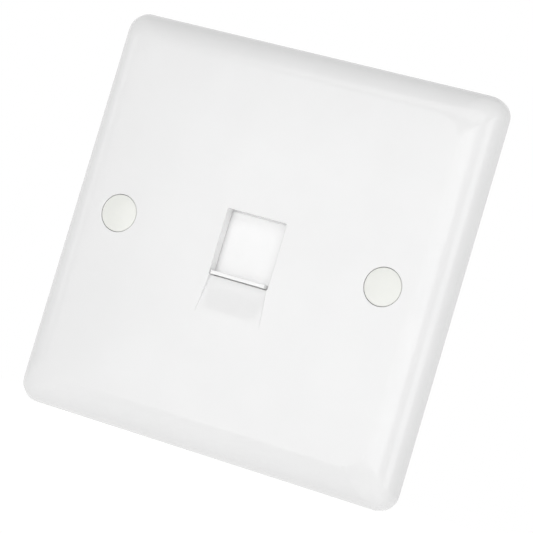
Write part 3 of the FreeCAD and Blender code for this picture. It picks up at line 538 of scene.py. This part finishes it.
class ShapeTree:
    """Geometry node tree with named inputs, which ends in real meshes with a material."""

    def __init__(self, name: str, **inputs: Sequence[str]) -> None:
        """Make the tree and its inputs.

        Args:
            name: Name of the tree.
            **inputs: Names of its inputs by the kind of their sockets, such as Float.
        """
        self.tree = bpy.data.node_groups.new(name, "GeometryNodeTree")
        face = self.tree.interface
        for way in ("INPUT", "OUTPUT"):
            face.new_socket("Geometry", in_out=way, socket_type="NodeSocketGeometry")
        self.sockets = {}
        for kind, labels in {**inputs, "Material": ["Material"]}.items():
            for label in labels:
                socket = face.new_socket(label, in_out="INPUT", socket_type=f"NodeSocket{kind}")
                self.sockets[label.replace(" ", "_").lower()] = socket.identifier
        self.given = add_node(self.tree, "NodeGroupInput")

    def close(self, geometry: Socket) -> None:
        """End the tree with Realize Instances and Set Material.

        Args:
            geometry: What the tree has made.
        """
        real = add_node(self.tree, "GeometryNodeRealizeInstances", {"Geometry": geometry})["Geometry"]
        inputs = {"Geometry": real, "Material": self.given["Material"]}
        dressed = add_node(self.tree, "GeometryNodeSetMaterial", inputs)["Geometry"]
        add_node(self.tree, "NodeGroupOutput", {"Geometry": dressed})

    def grow(
        self, name: str, seed: bpy.types.Mesh, material: bpy.types.Material, crease: float, **sizes: Any
    ) -> bpy.types.Object:
        """Run the tree on a mesh and keep what it makes as a plain piece.

        Args:
            name: Name of the piece.
            seed: Mesh that the tree starts from.
            material: Finish of the piece.
            crease: Angle in degrees from which an edge stays sharp.
            **sizes: Input values, named with underscores for spaces.

        Returns:
            The piece, with no modifier left on it.
        """
        piece = new_object(name, seed)
        modifier = piece.modifiers.new(name, "NODES")
        modifier.node_group = self.tree
        for label, value in {**sizes, "material": material}.items():
            modifier[self.sockets[label]] = value
        graph = bpy.context.evaluated_depsgraph_get()
        mesh = bpy.data.meshes.new_from_object(piece.evaluated_get(graph), depsgraph=graph)
        piece.modifiers.remove(modifier)
        mesh.name = name
        piece.data = mesh
        shade_smooth(mesh, crease)
        return piece


def driver_recess(shape: ShapeTree) -> Socket:
    """Cut a slot or a cross into the screw's head.

    Args:
        shape: Tree of the screw.

    Returns:
        The blank with the recess.
    """
    tree, given = shape.tree, shape.given
    deep = add_node(tree, "ShaderNodeMath", {0: given["Recess Depth"], 1: 2.0}, operation="MULTIPLY")[0]
    seat = add_node(tree, "ShaderNodeCombineXYZ", {"X": given["Across"], "Y": given["Head Top"]})[0]
    bars = []
    for wide, tall in (("Recess Width", "Recess Length"), ("Recess Length", "Recess Width")):
        size = add_node(tree, "ShaderNodeCombineXYZ", {"X": given[wide], "Y": deep, "Z": given[tall]})[0]
        cube = add_node(tree, "GeometryNodeMeshCube", {"Size": size})["Mesh"]
        inputs = {"Geometry": cube, "Translation": seat}
        bars.append(add_node(tree, "GeometryNodeTransform", inputs)["Geometry"])
    inputs = {"Switch": given["Cross"], "True": bars[1]}
    second = add_node(tree, "GeometryNodeSwitch", inputs, input_type="GEOMETRY")["Output"]
    inputs = {"Mesh 1": given["Geometry"], "Mesh 2": [bars[0], second]}
    return add_node(tree, "GeometryNodeMeshBoolean", inputs, operation="DIFFERENCE")["Mesh"]


def wound_thread(shape: ShapeTree) -> Socket:
    """Wind the thread: a triangle on a helix, its crest turned outwards, run out at both ends.

    Args:
        shape: Tree of the screw.

    Returns:
        The thread about the Z axis.
    """
    tree, given = shape.tree, shape.given
    core, length = given["Core Radius"], given["Thread Length"]
    ridge = add_node(tree, "ShaderNodeMath", {0: given["Thread Radius"], 1: core}, operation="SUBTRACT")[0]
    triangle = add_node(tree, "GeometryNodeCurvePrimitiveCircle", {"Resolution": 3, "Radius": ridge})["Curve"]
    inputs = {"Geometry": triangle, "Rotation": Euler((0.0, 0.0, math.pi))}
    section = add_node(tree, "GeometryNodeTransform", inputs)["Geometry"]
    turns = add_node(tree, "ShaderNodeMath", {0: length, 1: given["Pitch"]}, operation="DIVIDE")[0]
    size = {"Start Radius": core, "End Radius": core, "Height": length}
    helix = add_node(tree, "GeometryNodeCurveSpiral", {"Resolution": 24, "Rotations": turns, **size})["Curve"]
    upright = add_node(tree, "GeometryNodeSetCurveNormal", {"Curve": helix}, mode="Z_UP")["Curve"]
    along = add_node(tree, "GeometryNodeSplineParameter")["Factor"]
    run_in, run_out = 0.03, 0.95  # shares of the length between which the thread has its full depth
    ends = {}
    for index, (tip, full) in enumerate(((0.0, run_in), (1.0, run_out))):
        inputs = {"Value": along, "From Min": tip, "From Max": full}
        ends[index] = add_node(tree, "ShaderNodeMapRange", inputs)["Result"]
    depth = add_node(tree, "ShaderNodeMath", ends, operation="MULTIPLY")[0]
    inputs = {"Curve": upright, "Profile Curve": section, "Scale": depth, "Fill Caps": True}
    return add_node(tree, "GeometryNodeCurveToMesh", inputs)["Mesh"]


def screw_tree() -> ShapeTree:
    """Build the tree that cuts the driver recess into a turned blank and winds its thread.

    Returns:
        The tree.
    """
    lengths = (
        "Core Radius", "Thread Radius", "Pitch", "Thread Start", "Thread Length",
        "Across", "Head Top", "Recess Width", "Recess Length", "Recess Depth",
    )
    shape = ShapeTree("turned_screw", Float=lengths, Bool=["Cross"])
    tree, given = shape.tree, shape.given
    cut = driver_recess(shape)
    foot = add_node(tree, "ShaderNodeCombineXYZ", {"X": given["Across"], "Y": given["Thread Start"]})[0]
    into_wall = Euler((-math.pi / 2, 0.0, 0.0))
    inputs = {"Geometry": wound_thread(shape), "Translation": foot, "Rotation": into_wall}
    thread = add_node(tree, "GeometryNodeTransform", inputs)["Geometry"]
    shape.close(add_node(tree, "GeometryNodeJoinGeometry", {"Geometry": [thread, cut]})["Geometry"])
    return shape


def spring_tree() -> ShapeTree:
    """Build the tree that winds a compression spring with closed ends.

    Returns:
        The tree.
    """
    numbers = ("Mean Radius", "Wire Radius", "Height", "Turns")
    shape = ShapeTree("wound_spring", Float=numbers, Vector=["Foot"])
    tree, given = shape.tree, shape.given
    radius, height, turns = given["Mean Radius"], given["Height"], given["Turns"]
    size = {"Start Radius": radius, "End Radius": radius, "Height": height}
    helix = add_node(tree, "GeometryNodeCurveSpiral", {"Resolution": 28, "Rotations": turns, **size})["Curve"]
    end_turn = add_node(tree, "ShaderNodeMath", {0: 1.0, 1: turns}, operation="DIVIDE")[0]
    far_turn = add_node(tree, "ShaderNodeMath", {0: 1.0, 1: end_turn}, operation="SUBTRACT")[0]
    wire = add_node(tree, "ShaderNodeMath", {0: given["Wire Radius"], 1: 2.0}, operation="MULTIPLY")[0]
    closed = add_node(tree, "ShaderNodeMath", {0: wire, 1: 2.0}, operation="MULTIPLY")[0]
    open_height = add_node(tree, "ShaderNodeMath", {0: height, 1: closed}, operation="SUBTRACT")[0]
    # Each end turn climbs by the wire's own thickness, and the turns between them by all the rest.
    along = add_node(tree, "GeometryNodeSplineParameter")["Factor"]
    rise: Any = 0.0
    climbs = ((0.0, end_turn, wire), (end_turn, far_turn, open_height), (far_turn, 1.0, wire))
    for start, end, climb in climbs:
        inputs = {"Value": along, "From Min": start, "From Max": end, "To Max": climb}
        step = add_node(tree, "ShaderNodeMapRange", inputs)["Result"]
        rise = add_node(tree, "ShaderNodeMath", {0: rise, 1: step}, operation="ADD")[0]
    place = add_node(tree, "GeometryNodeInputPosition")["Position"]
    split = add_node(tree, "ShaderNodeSeparateXYZ", {"Vector": place})
    wound = add_node(tree, "ShaderNodeCombineXYZ", {"X": split["X"], "Y": split["Y"], "Z": rise})[0]
    coil = add_node(tree, "GeometryNodeSetPosition", {"Geometry": helix, "Position": wound})["Geometry"]
    upright = add_node(tree, "GeometryNodeSetCurveNormal", {"Curve": coil}, mode="Z_UP")["Curve"]
    inputs = {"Resolution": 12, "Radius": given["Wire Radius"]}
    section = add_node(tree, "GeometryNodeCurvePrimitiveCircle", inputs)["Curve"]
    inputs = {"Curve": upright, "Profile Curve": section, "Fill Caps": True}
    round_wire = add_node(tree, "GeometryNodeCurveToMesh", inputs)["Mesh"]
    inputs = {"Geometry": round_wire, "Translation": given["Foot"]}
    shape.close(add_node(tree, "GeometryNodeTransform", inputs)["Geometry"])
    return shape


def strip_tree() -> ShapeTree:
    """Build the tree that sweeps a flat strip along polylines and rounds their corners.

    Returns:
        The tree.
    """
    lengths = ("Along Axis", "Across Axis", "Bend Radius")
    shape = ShapeTree("bent_strip", Float=lengths, Int=["Bend Steps"], Vector=["Axis"])
    tree, given = shape.tree, shape.given
    path = add_node(tree, "GeometryNodeMeshToCurve", {"Mesh": given["Geometry"]})["Curve"]
    bend = {"Count": given["Bend Steps"], "Radius": given["Bend Radius"], "Limit Radius": True}
    bent = add_node(tree, "GeometryNodeFilletCurve", {"Curve": path, **bend}, mode="POLY")["Curve"]
    inputs = {"Curve": bent, "Normal": given["Axis"]}
    turned = add_node(tree, "GeometryNodeSetCurveNormal", inputs, mode="FREE")["Curve"]
    inputs = {"Width": given["Along Axis"], "Height": given["Across Axis"]}
    section = add_node(tree, "GeometryNodeCurvePrimitiveQuadrilateral", inputs)["Curve"]
    inputs = {"Curve": turned, "Profile Curve": section, "Fill Caps": True}
    shape.close(add_node(tree, "GeometryNodeCurveToMesh", inputs)["Mesh"])
    return shape


def solder_tree() -> ShapeTree:
    """Build the tree that sets a pad and a solder fillet on each point of a mesh.

    Returns:
        The tree.
    """
    shape = ShapeTree("solder_joints", Float=("Pad Radius", "Tail Radius", "Joint Height", "Tilt"))
    tree, given = shape.tree, shape.given
    pad, height = given["Pad Radius"], given["Joint Height"]
    foot, waist, low, high = (
        add_node(tree, "ShaderNodeMath", {0: size, 1: share}, operation="MULTIPLY")[0]
        for size, share in ((pad, 0.92), (pad, 0.62), (height, 0.35), (height, 0.65))
    )
    foil = 0.04 * MM
    # Flat pad, foot of the joint and its neck: lower radius, upper radius, height and start.
    levels = ((pad, pad, foil, 0.0), (foot, waist, low, 0.0), (waist, given["Tail Radius"], high, low))
    cones = []
    for bottom, top, depth, start in levels:
        inputs = {"Vertices": 20, "Radius Bottom": bottom, "Radius Top": top, "Depth": depth}
        cone = add_node(tree, "GeometryNodeMeshCone", inputs)["Mesh"]
        inputs = {"Geometry": cone, "Translation": add_node(tree, "ShaderNodeCombineXYZ", {"Z": start})[0]}
        cones.append(add_node(tree, "GeometryNodeTransform", inputs)["Geometry"])
    joint = add_node(tree, "GeometryNodeJoinGeometry", {"Geometry": cones})["Geometry"]
    tilt = add_node(tree, "ShaderNodeCombineXYZ", {"X": given["Tilt"]})[0]
    points = add_node(tree, "GeometryNodeMeshToPoints", {"Mesh": given["Geometry"]})["Points"]
    inputs = {"Points": points, "Instance": joint, "Rotation": tilt}
    shape.close(add_node(tree, "GeometryNodeInstanceOnPoints", inputs)["Instances"])
    return shape


# The front


@dataclass
class WallPlate:
    """Moulded front plate and the two caps over its fixing screws, in millimetres."""

    face: float = -8.8
    cap_radius: float = 3.93
    cap_edge: float = 0.2
    cap_thickness: float = 1.0
    cap_skirt: float = 0.55
    cap_foot: float = -4.8

    def build(self, nodes: Nodes) -> list[bpy.types.Object]:
        """Build the plate and its caps.

        Args:
            nodes: CAD nodes by name.

        Returns:
            The pieces.
        """
        plate = moulded(nodes, "faceplate", "plate_moulding", PLATE_UREA.material())
        finish = CAP_UREA.material()
        return [plate, self.cap("left", -1, finish), self.cap("right", 1, finish)]

    def cap(self, side: str, sign: int, finish: bpy.types.Material) -> bpy.types.Object:
        """Turn one cap with a rounded edge and a hollow skirt.

        Args:
            side: Side of the plate.
            sign: -1 for the left side, 1 for the right.
            finish: Its material.

        Returns:
            The cap.
        """
        inner = self.cap_radius - self.cap_skirt
        edge = arc((self.cap_radius - self.cap_edge, self.face + self.cap_edge), self.cap_edge, -90, 0, 6)
        under = self.face + self.cap_thickness
        crown = [(0.0, self.face), *edge]
        skirt = [(self.cap_radius, self.cap_foot), (inner, self.cap_foot), (inner, under), (0.0, under)]
        across = sign * FIXING_PITCH / 2
        mesh = lathe(f"cap_{side}_moulding", [*crown, *skirt], segments=72, across=across)
        shade_smooth(mesh, crease=40.0)
        cap = new_object(f"cap_{side}_moulding", mesh)
        dress(cap, finish)
        return settle(cap, SOCKET, [f"screw_cap_{side}"])


@dataclass
class SprungShutter:
    """Sliding shutter with its lip, and the return spring above it, in millimetres."""

    spring_depth: float = -5.1
    spring_radius: float = 1.3
    wire: float = 0.3
    turns: float = 12.0
    fixed_end: float = 26.5
    travel: float = 12.4

    def build(self, nodes: Nodes) -> list[bpy.types.Object]:
        """Build the shutter and wind its spring.

        Args:
            nodes: CAD nodes by name.

        Returns:
            The pieces.
        """
        finish = SHUTTER_ACETAL_PAINTED_BRIGHT.material()
        panel = moulded(nodes, "shutter", "shutter_moulding", finish, SHUTTER)
        low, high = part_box("shutter_spring")
        radius = self.wire / 2 * MM
        spring = spring_tree().grow(
            "return_spring",
            bpy.data.meshes.new("spring_seed"),
            PlatedMetal(Plating.SPRING, 0.8).material(),
            crease=50.0,
            mean_radius=(self.spring_radius - self.wire / 2) * MM,
            wire_radius=radius,
            height=high.z - low.z - 2 * radius,
            turns=self.turns,
            foot=(0.0, self.spring_depth * MM, low.z + radius),
        )
        settle(spring, SOCKET, ["shutter_spring"])
        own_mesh(spring)
        return [panel, spring]


# The screws


@dataclass(frozen=True)
class ScrewBlank:
    """Turned blank of a screw and its driver recess, in millimetres along the axis into the wall.

    A head that faces the room has inwards 1, and one that faces the wall -1.
    """

    head_top: float
    head_radius: float
    head_height: float
    dome: float
    neck_radius: float
    neck_end: float
    core_radius: float
    thread_radius: float
    tip: float
    pitch: float
    recess_width: float
    recess_length: float
    recess_depth: float
    cross: bool
    inwards: int = 1
    broken_edge: float = 0.08
    core_taper: float = 0.15
    tip_length: float = 0.5
    tip_share: float = 0.55

    def profile(self) -> list[Flat]:
        """Give the outline of the blank: domed head, neck, core and chamfered tip.

        Returns:
            Points as (distance from the axis, place along it).
        """
        way = self.inwards
        rim = self.head_top + way * self.dome
        seat = self.head_top + way * self.head_height
        quarter = arc((0.0, 0.0), 1.0, 90, 0, 6)
        return [
            *((self.head_radius * out, rim - way * self.dome * up) for out, up in quarter),
            (self.head_radius, seat - way * self.broken_edge),
            (self.head_radius - self.broken_edge, seat),
            (self.neck_radius, seat),
            (self.neck_radius, self.neck_end),
            (self.core_radius, self.neck_end + way * self.core_taper),
            (self.core_radius, self.tip - way * self.tip_length),
            (self.core_radius * self.tip_share, self.tip),
            (0.0, self.tip),
        ]


# Slotted M3.5 screw that holds the plate to the wall box.
FIXING_SCREW = ScrewBlank(
    head_top=-6.8, head_radius=3.0, head_height=2.0, dome=0.7, neck_radius=1.55, neck_end=0.0,
    core_radius=1.42, thread_radius=1.75, tip=20.2, pitch=0.6,
    recess_width=0.9, recess_length=8.0, recess_depth=1.0, cross=False,
)
# Small thread-forming screw with a cross recess, driven from behind.
CARRIER_SCREW = ScrewBlank(
    head_top=-0.25, head_radius=2.1, head_height=1.5, dome=0.55, neck_radius=0.8, neck_end=-2.2,
    core_radius=0.82, thread_radius=1.1, tip=-7.15, pitch=0.8,
    recess_width=0.45, recess_length=2.3, recess_depth=1.1, cross=True, inwards=-1,
)


@dataclass
class Screws:
    """The two plate fixing screws under the caps and the two screws of the carrier, in millimetres."""

    carrier_pitch: float = 27.0
    thread_margin: float = 0.1

    def build(self, nodes: Nodes) -> list[bpy.types.Object]:
        """Build the four screws.

        Args:
            nodes: CAD nodes by name; not used.

        Returns:
            The pieces.
        """
        tree = screw_tree()
        plated = PlatedMetal(Plating.ZINC, 2.0, (1.0, 6.0, 1.0)).material()
        pieces = []
        for side, sign in (("left", -1), ("right", 1)):
            for node, blank, pitch, slot in (
                (f"fixing_screw_{side}", FIXING_SCREW, FIXING_PITCH, "screw_steel"),
                (f"carrier_screw_{side}", CARRIER_SCREW, self.carrier_pitch, "small_screw_steel"),
            ):
                screw = self.turn(tree, blank, f"{node}_turned", sign * pitch / 2, plated)
                pieces.append(settle(screw, SOCKET, [node]))
        return pieces

    def turn(
        self, tree: ShapeTree, blank: ScrewBlank, name: str, across: float, plated: bpy.types.Material
    ) -> bpy.types.Object:
        """Turn one screw, cut its recess and wind its thread.

        Args:
            tree: Tree that cuts and winds.
            blank: Sizes of the screw.
            name: Name of the piece.
            across: Distance of its axis from the plate's middle.
            plated: Its material.

        Returns:
            The screw.
        """
        far_end = blank.tip - blank.inwards * (blank.tip_length - self.thread_margin)
        low, high = sorted((blank.neck_end, far_end))
        lengths = (
            "core_radius", "thread_radius", "pitch", "head_top",
            "recess_width", "recess_length", "recess_depth",
        )
        return tree.grow(
            name,
            lathe(name, blank.profile(), segments=48, across=across),
            plated,
            crease=35.0,
            thread_start=(low + self.thread_margin) * MM,
            thread_length=(high - low - 2 * self.thread_margin) * MM,
            across=across * MM,
            cross=blank.cross,
            **{label: getattr(blank, label) * MM for label in lengths},
        )


# The network module


@dataclass(frozen=True)
class ContactRow:
    """Places of the contacts in the jack and of their tails in the board, in millimetres."""

    ways: int = 8
    pitch: float = 1.02
    heights: tuple[float, float] = (5.975, 3.435)

    def across(self, index: int) -> float:
        """Give the distance of a contact from the middle of the row."""
        return self.pitch * (index - (self.ways - 1) / 2)

    def tails(self) -> list[Flat]:
        """Give the place (across, up) of each tail; every other one is in the lower row."""
        return [(self.across(index), self.heights[index % 2]) for index in range(self.ways)]


@dataclass
class NetworkJack:
    """Carrier, jack housing, comb and the eight sprung contacts, in millimetres."""

    row: ContactRow = ContactRow()
    strip_width: float = 0.42
    strip_thickness: float = 0.32
    bend_radius: float = 0.8
    bend_depth: float = -0.6
    step_depth: float = 9.2
    tail_end: float = 12.8
    slope: float = 18.0
    free_length: float = 6.6

    def build(self, nodes: Nodes) -> list[bpy.types.Object]:
        """Dress the mouldings and bend the contacts.

        Args:
            nodes: CAD nodes by name.

        Returns:
            The pieces.
        """
        pieces = [
            moulded(nodes, node, f"{node}_moulding", finish.material())
            for node, finish, slot in (
                ("module_carrier", CARRIER_ABS, "carrier_plastic"),
                ("jack_housing", JACK_NYLON, "jack_plastic"),
                ("contact_insert", COMB_NYLON, "insert_plastic"),
            )
        ]
        lines = [self.centre_line(index) for index in range(self.row.ways)]
        contacts = strip_tree().grow(
            "sprung_contacts",
            wires("contact_paths", lines),
            PlatedMetal(Plating.GOLD, 1.2, (1.0, 8.0, 1.0)).material(),
            crease=50.0,
            along_axis=self.strip_width * MM,
            across_axis=self.strip_thickness * MM,
            bend_radius=self.bend_radius * MM,
            bend_steps=12,
            axis=(1.0, 0.0, 0.0),
        )
        settle(contacts, SOCKET, [f"contact_{index + 1}" for index in range(self.row.ways)])
        return [*pieces, contacts]

    def centre_line(self, index: int) -> list[Point]:
        """Give the corners of one contact's centre line, from its tail to its free end.

        Args:
            index: Number of the contact, from 0.

        Returns:
            The corners; every other tail steps down to a second row of holes.
        """
        across = self.row.across(index)
        high, low = self.row.heights
        tail = [(across, self.tail_end, high)]
        if index % 2:
            step = self.step_depth
            tail = [(across, self.tail_end, low), (across, step, low), (across, step, high)]
        slope = math.radians(self.slope)
        reach = self.bend_radius / math.tan(slope / 2)
        corner = self.bend_depth - reach
        run = reach + self.free_length
        end = (across, corner + run * math.cos(slope), high - run * math.sin(slope))
        return [*tail, (across, corner, high), end]


@dataclass
class WireTerminals:
    """Circuit board with its tracks and joints, and the two wire terminal blocks, in millimetres."""

    row: ContactRow = ContactRow()
    board_front: float = 10.0
    board_back: float = 11.6
    block_across: float = 12.0
    wire_rows: tuple[float, ...] = (-5.5, -1.5, 2.5, 6.5)
    track_width: float = 0.4
    track_height: float = 0.05
    joint_height: float = 0.6

    def build(self, nodes: Nodes) -> list[bpy.types.Object]:
        """Dress the board, the blocks and the blades, and add tracks and joints.

        Args:
            nodes: CAD nodes by name.

        Returns:
            The pieces.
        """
        block = BLOCK_POLYCARBONATE.material()
        pieces = [
            moulded(nodes, node, f"{node}_dressed", finish)
            for node, finish, slot in (
                ("circuit_board", BoardLaminate().material(), "board_laminate"),
                ("idc_block_left", block, "terminal_plastic"),
                ("idc_block_right", block, "terminal_plastic"),
            )
        ]
        tinned = PlatedMetal(Plating.TIN, 1.5, (1.0, 6.0, 1.0)).material()
        blades = [nodes[f"idc_blade_{index + 1}"] for index in range(self.row.ways)]
        for blade in blades:
            dress(blade, tinned)
        return [*pieces, *blades, self.tracks(), *self.joints()]

    def tracks(self) -> bpy.types.Object:
        """Lay the tracks from the contact tails to the blades, clear of each other, the pegs and the hooks.

        Returns:
            The tracks as one piece.
        """
        level = self.board_back + self.track_height / 2
        bottom, second, third, top = self.wire_rows
        over_jack, under_jack = 7.6, -6.8
        tails = self.row.tails()
        paths = []
        # On each side the outer contacts feed the middle blades, and the inner ones the top and bottom blade.
        # The bends (across, up) are placed so that each track keeps its distance from the others.
        for sign, order in ((-1, (0, 1, 2, 3)), (1, (6, 7, 4, 5))):
            upper, lower, over, under = (tails[index] for index in order)
            down = [(abs(under[0]), 0.8), (3.2, -3.2), (3.2, under_jack)]
            for tail, bends, blade in (
                (over, [(abs(over[0]), over_jack), (6.4, over_jack), (7.5, top)], top),
                (upper, [(5.2, upper[1]), (7.4, third)], third),
                (lower, [(4.6, 1.6), (6.2, second)], second),
                (under, [*down, (7.6, under_jack), (8.4, bottom)], bottom),
            ):
                way = [(sign * across, level, up) for across, up in (*bends, (self.block_across, blade))]
                paths.append([(tail[0], level, tail[1]), *way])
        tracks = strip_tree().grow(
            "board_tracks",
            wires("track_paths", paths),
            MaskedCopper().material(),
            crease=30.0,
            along_axis=self.track_height * MM,
            across_axis=self.track_width * MM,
            bend_radius=0.4 * MM,
            bend_steps=3,
            axis=(0.0, 1.0, 0.0),
        )
        return settle(tracks, SOCKET)

    def joints(self) -> list[bpy.types.Object]:
        """Set the solder joints: contact tails on the board's rear, blade tails on its front.

        Returns:
            The joints of each side as one piece.
        """
        tree = solder_tree()
        solder = PlatedMetal(Plating.SOLDER, 0.5).material()
        behind = [(across, self.board_back, up) for across, up in self.row.tails()]
        sides = (-self.block_across, self.block_across)
        ahead = [(across, self.board_front, up) for across in sides for up in self.wire_rows]
        pieces = []
        for name, places, tilt, pad, tail in (
            ("contact_joints", behind, -math.pi / 2, 0.72, 0.34),
            ("blade_joints", ahead, math.pi / 2, 1.15, 0.6),
        ):
            seed = wires(f"{name}_places", [[place] for place in places])
            sizes = {"pad_radius": pad * MM, "tail_radius": tail * MM, "joint_height": self.joint_height * MM}
            joints = tree.grow(name, seed, solder, crease=50.0, tilt=tilt, **sizes)
            pieces.append(settle(joints, SOCKET))
        return pieces


# The studio


@dataclass(frozen=True)
class PhotoCamera:
    """Camera at the photograph's place: angles in degrees, distances in metres, lens in millimetres."""

    azimuth: float = 22.114
    elevation: float = -2.078
    roll: float = 16.631
    distance: float = 0.444862
    aim: Point = (0.005106, -0.0088, -0.002376)
    lens: float = 148.444

    def build(self) -> None:
        """Set up the camera and make it the scene's own."""
        turn, tilt, roll = (math.radians(angle) for angle in (self.azimuth, self.elevation, self.roll))
        back = Vector((math.sin(turn) * math.cos(tilt), -math.cos(turn) * math.cos(tilt), math.sin(tilt)))
        level = Vector((math.cos(turn), math.sin(turn), 0.0))
        upright = back.cross(level)
        right = level * math.cos(roll) + upright * math.sin(roll)
        up = upright * math.cos(roll) - level * math.sin(roll)
        lens = bpy.data.cameras.new("photo_camera")
        lens.lens = self.lens
        lens.sensor_width = 36.0
        lens.clip_start = 0.01
        camera = new_object("photo_camera", lens)
        turned = Matrix((right, up, back)).transposed().to_4x4()
        camera.matrix_world = Matrix.Translation(Vector(self.aim) + back * self.distance) @ turned
        bpy.context.scene.camera = camera


@dataclass(frozen=True)
class Softbox:
    """Large soft lamp that faces the plate's middle, sizes in metres and power in watts."""

    name: str
    place: Point
    width: float
    height: float
    power: float

    def build(self) -> None:
        """Hang the lamp."""
        lamp = bpy.data.lights.new(self.name, "AREA")
        lamp.shape = "RECTANGLE"
        lamp.size, lamp.size_y, lamp.energy = self.width, self.height, self.power
        turned = Vector(self.place).to_track_quat("Z", "Y").to_matrix().to_4x4()
        new_object(self.name, lamp).matrix_world = Matrix.Translation(self.place) @ turned


@dataclass
class Studio:
    """Pale floor, soft light all round and the camera.

    A glow is a pair: the strength that lights the object, and the one that is seen directly.
    """

    floor_height: float = -0.2
    floor_size: float = 6.0
    floor_glow: tuple[float, float] = (0.24, 0.64)
    room_glow: tuple[float, float] = (0.4, 1.0)
    lamps: tuple[Softbox, ...] = (
        Softbox("front_softbox", (0.226, -1.28, 0.02), 1.89, 0.41, 4.50),
        Softbox("high_softbox", (0.187, -1.061, 0.727), 1.6, 0.5, 2.76),
        Softbox("right_softbox", (1.292, -0.113, 0.091), 0.55, 0.8, 2.21),
        Softbox("left_softbox", (-1.13, -0.601, 0.226), 0.35, 0.6, 0.53),
    )

    def build(self) -> None:
        """Lay the floor, light the room and place the camera."""
        self.lay_floor()
        self.light_room()
        for lamp in self.lamps:
            lamp.build()
        PhotoCamera().build()
        bpy.context.scene.view_settings.view_transform = "Standard"

    def strength(self, tree: bpy.types.NodeTree, glow: tuple[float, float]) -> Socket:
        """Choose a glow's strength by the ray: background is seen straight, mirrored or through glass.

        Args:
            tree: Tree of the floor or the world.
            glow: Strength that lights the object and strength that is seen directly.

        Returns:
            The strength.
        """
        path = add_node(tree, "ShaderNodeLightPath")
        seen = path["Is Camera Ray"]
        for other in ("Is Glossy Ray", "Is Transmission Ray"):
            seen = add_node(tree, "ShaderNodeMath", {0: seen, 1: path[other]}, operation="MAXIMUM")[0]
        inputs = {"Value": seen, "To Min": glow[0], "To Max": glow[1]}
        return add_node(tree, "ShaderNodeMapRange", inputs)["Result"]

    def lay_floor(self) -> None:
        """Lay a matt pale floor that looks white yet keeps the object's shadow."""
        half = self.floor_size / 2
        sheet = [(half * x, half * y, self.floor_height) for x, y in ((-1, -1), (1, -1), (1, 1), (-1, 1))]
        mesh = bpy.data.meshes.new("studio_floor")
        mesh.from_pydata(sheet, [], [(0, 1, 2, 3)])
        floor = new_object("studio_floor", mesh)
        paper = bpy.data.materials.new("matt_paper_sweep")
        paper.use_nodes = True
        tree = paper.node_tree
        tree.nodes.clear()
        matt = add_node(tree, "ShaderNodeBsdfDiffuse", {"Color": linear("#f8f8f8")})["BSDF"]
        inputs = {"Strength": self.strength(tree, self.floor_glow)}
        glow = add_node(tree, "ShaderNodeEmission", inputs)["Emission"]
        both = add_node(tree, "ShaderNodeAddShader", {0: matt, 1: glow})["Shader"]
        add_node(tree, "ShaderNodeOutputMaterial", {"Surface": both})
        dress(floor, paper)

    def light_room(self) -> None:
        """Light the room evenly, and show it white where it is seen directly."""
        world = bpy.data.worlds.new("white_studio")
        world.use_nodes = True
        tree = world.node_tree
        tree.nodes.clear()
        inputs = {"Strength": self.strength(tree, self.room_glow), "Color": linear("#ffffff")}
        light = add_node(tree, "ShaderNodeBackground", inputs)["Background"]
        add_node(tree, "ShaderNodeOutputWorld", {"Surface": light})
        bpy.context.scene.world = world


# The whole


def main() -> None:
    """Build the sub-assemblies in order, log their pieces and light them."""
    logging.basicConfig(level=logging.INFO, format="%(message)s")
    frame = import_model()
    for unit in (WallPlate(), SprungShutter(), Screws(), NetworkJack(), WireTerminals()):
        for piece in unit.build(frame["nodes"]):
            LOG.info("%s: %s, %d faces", type(unit).__name__, piece.name, len(piece.data.polygons))
    Studio().build()


if __name__ == "__main__":
    main()
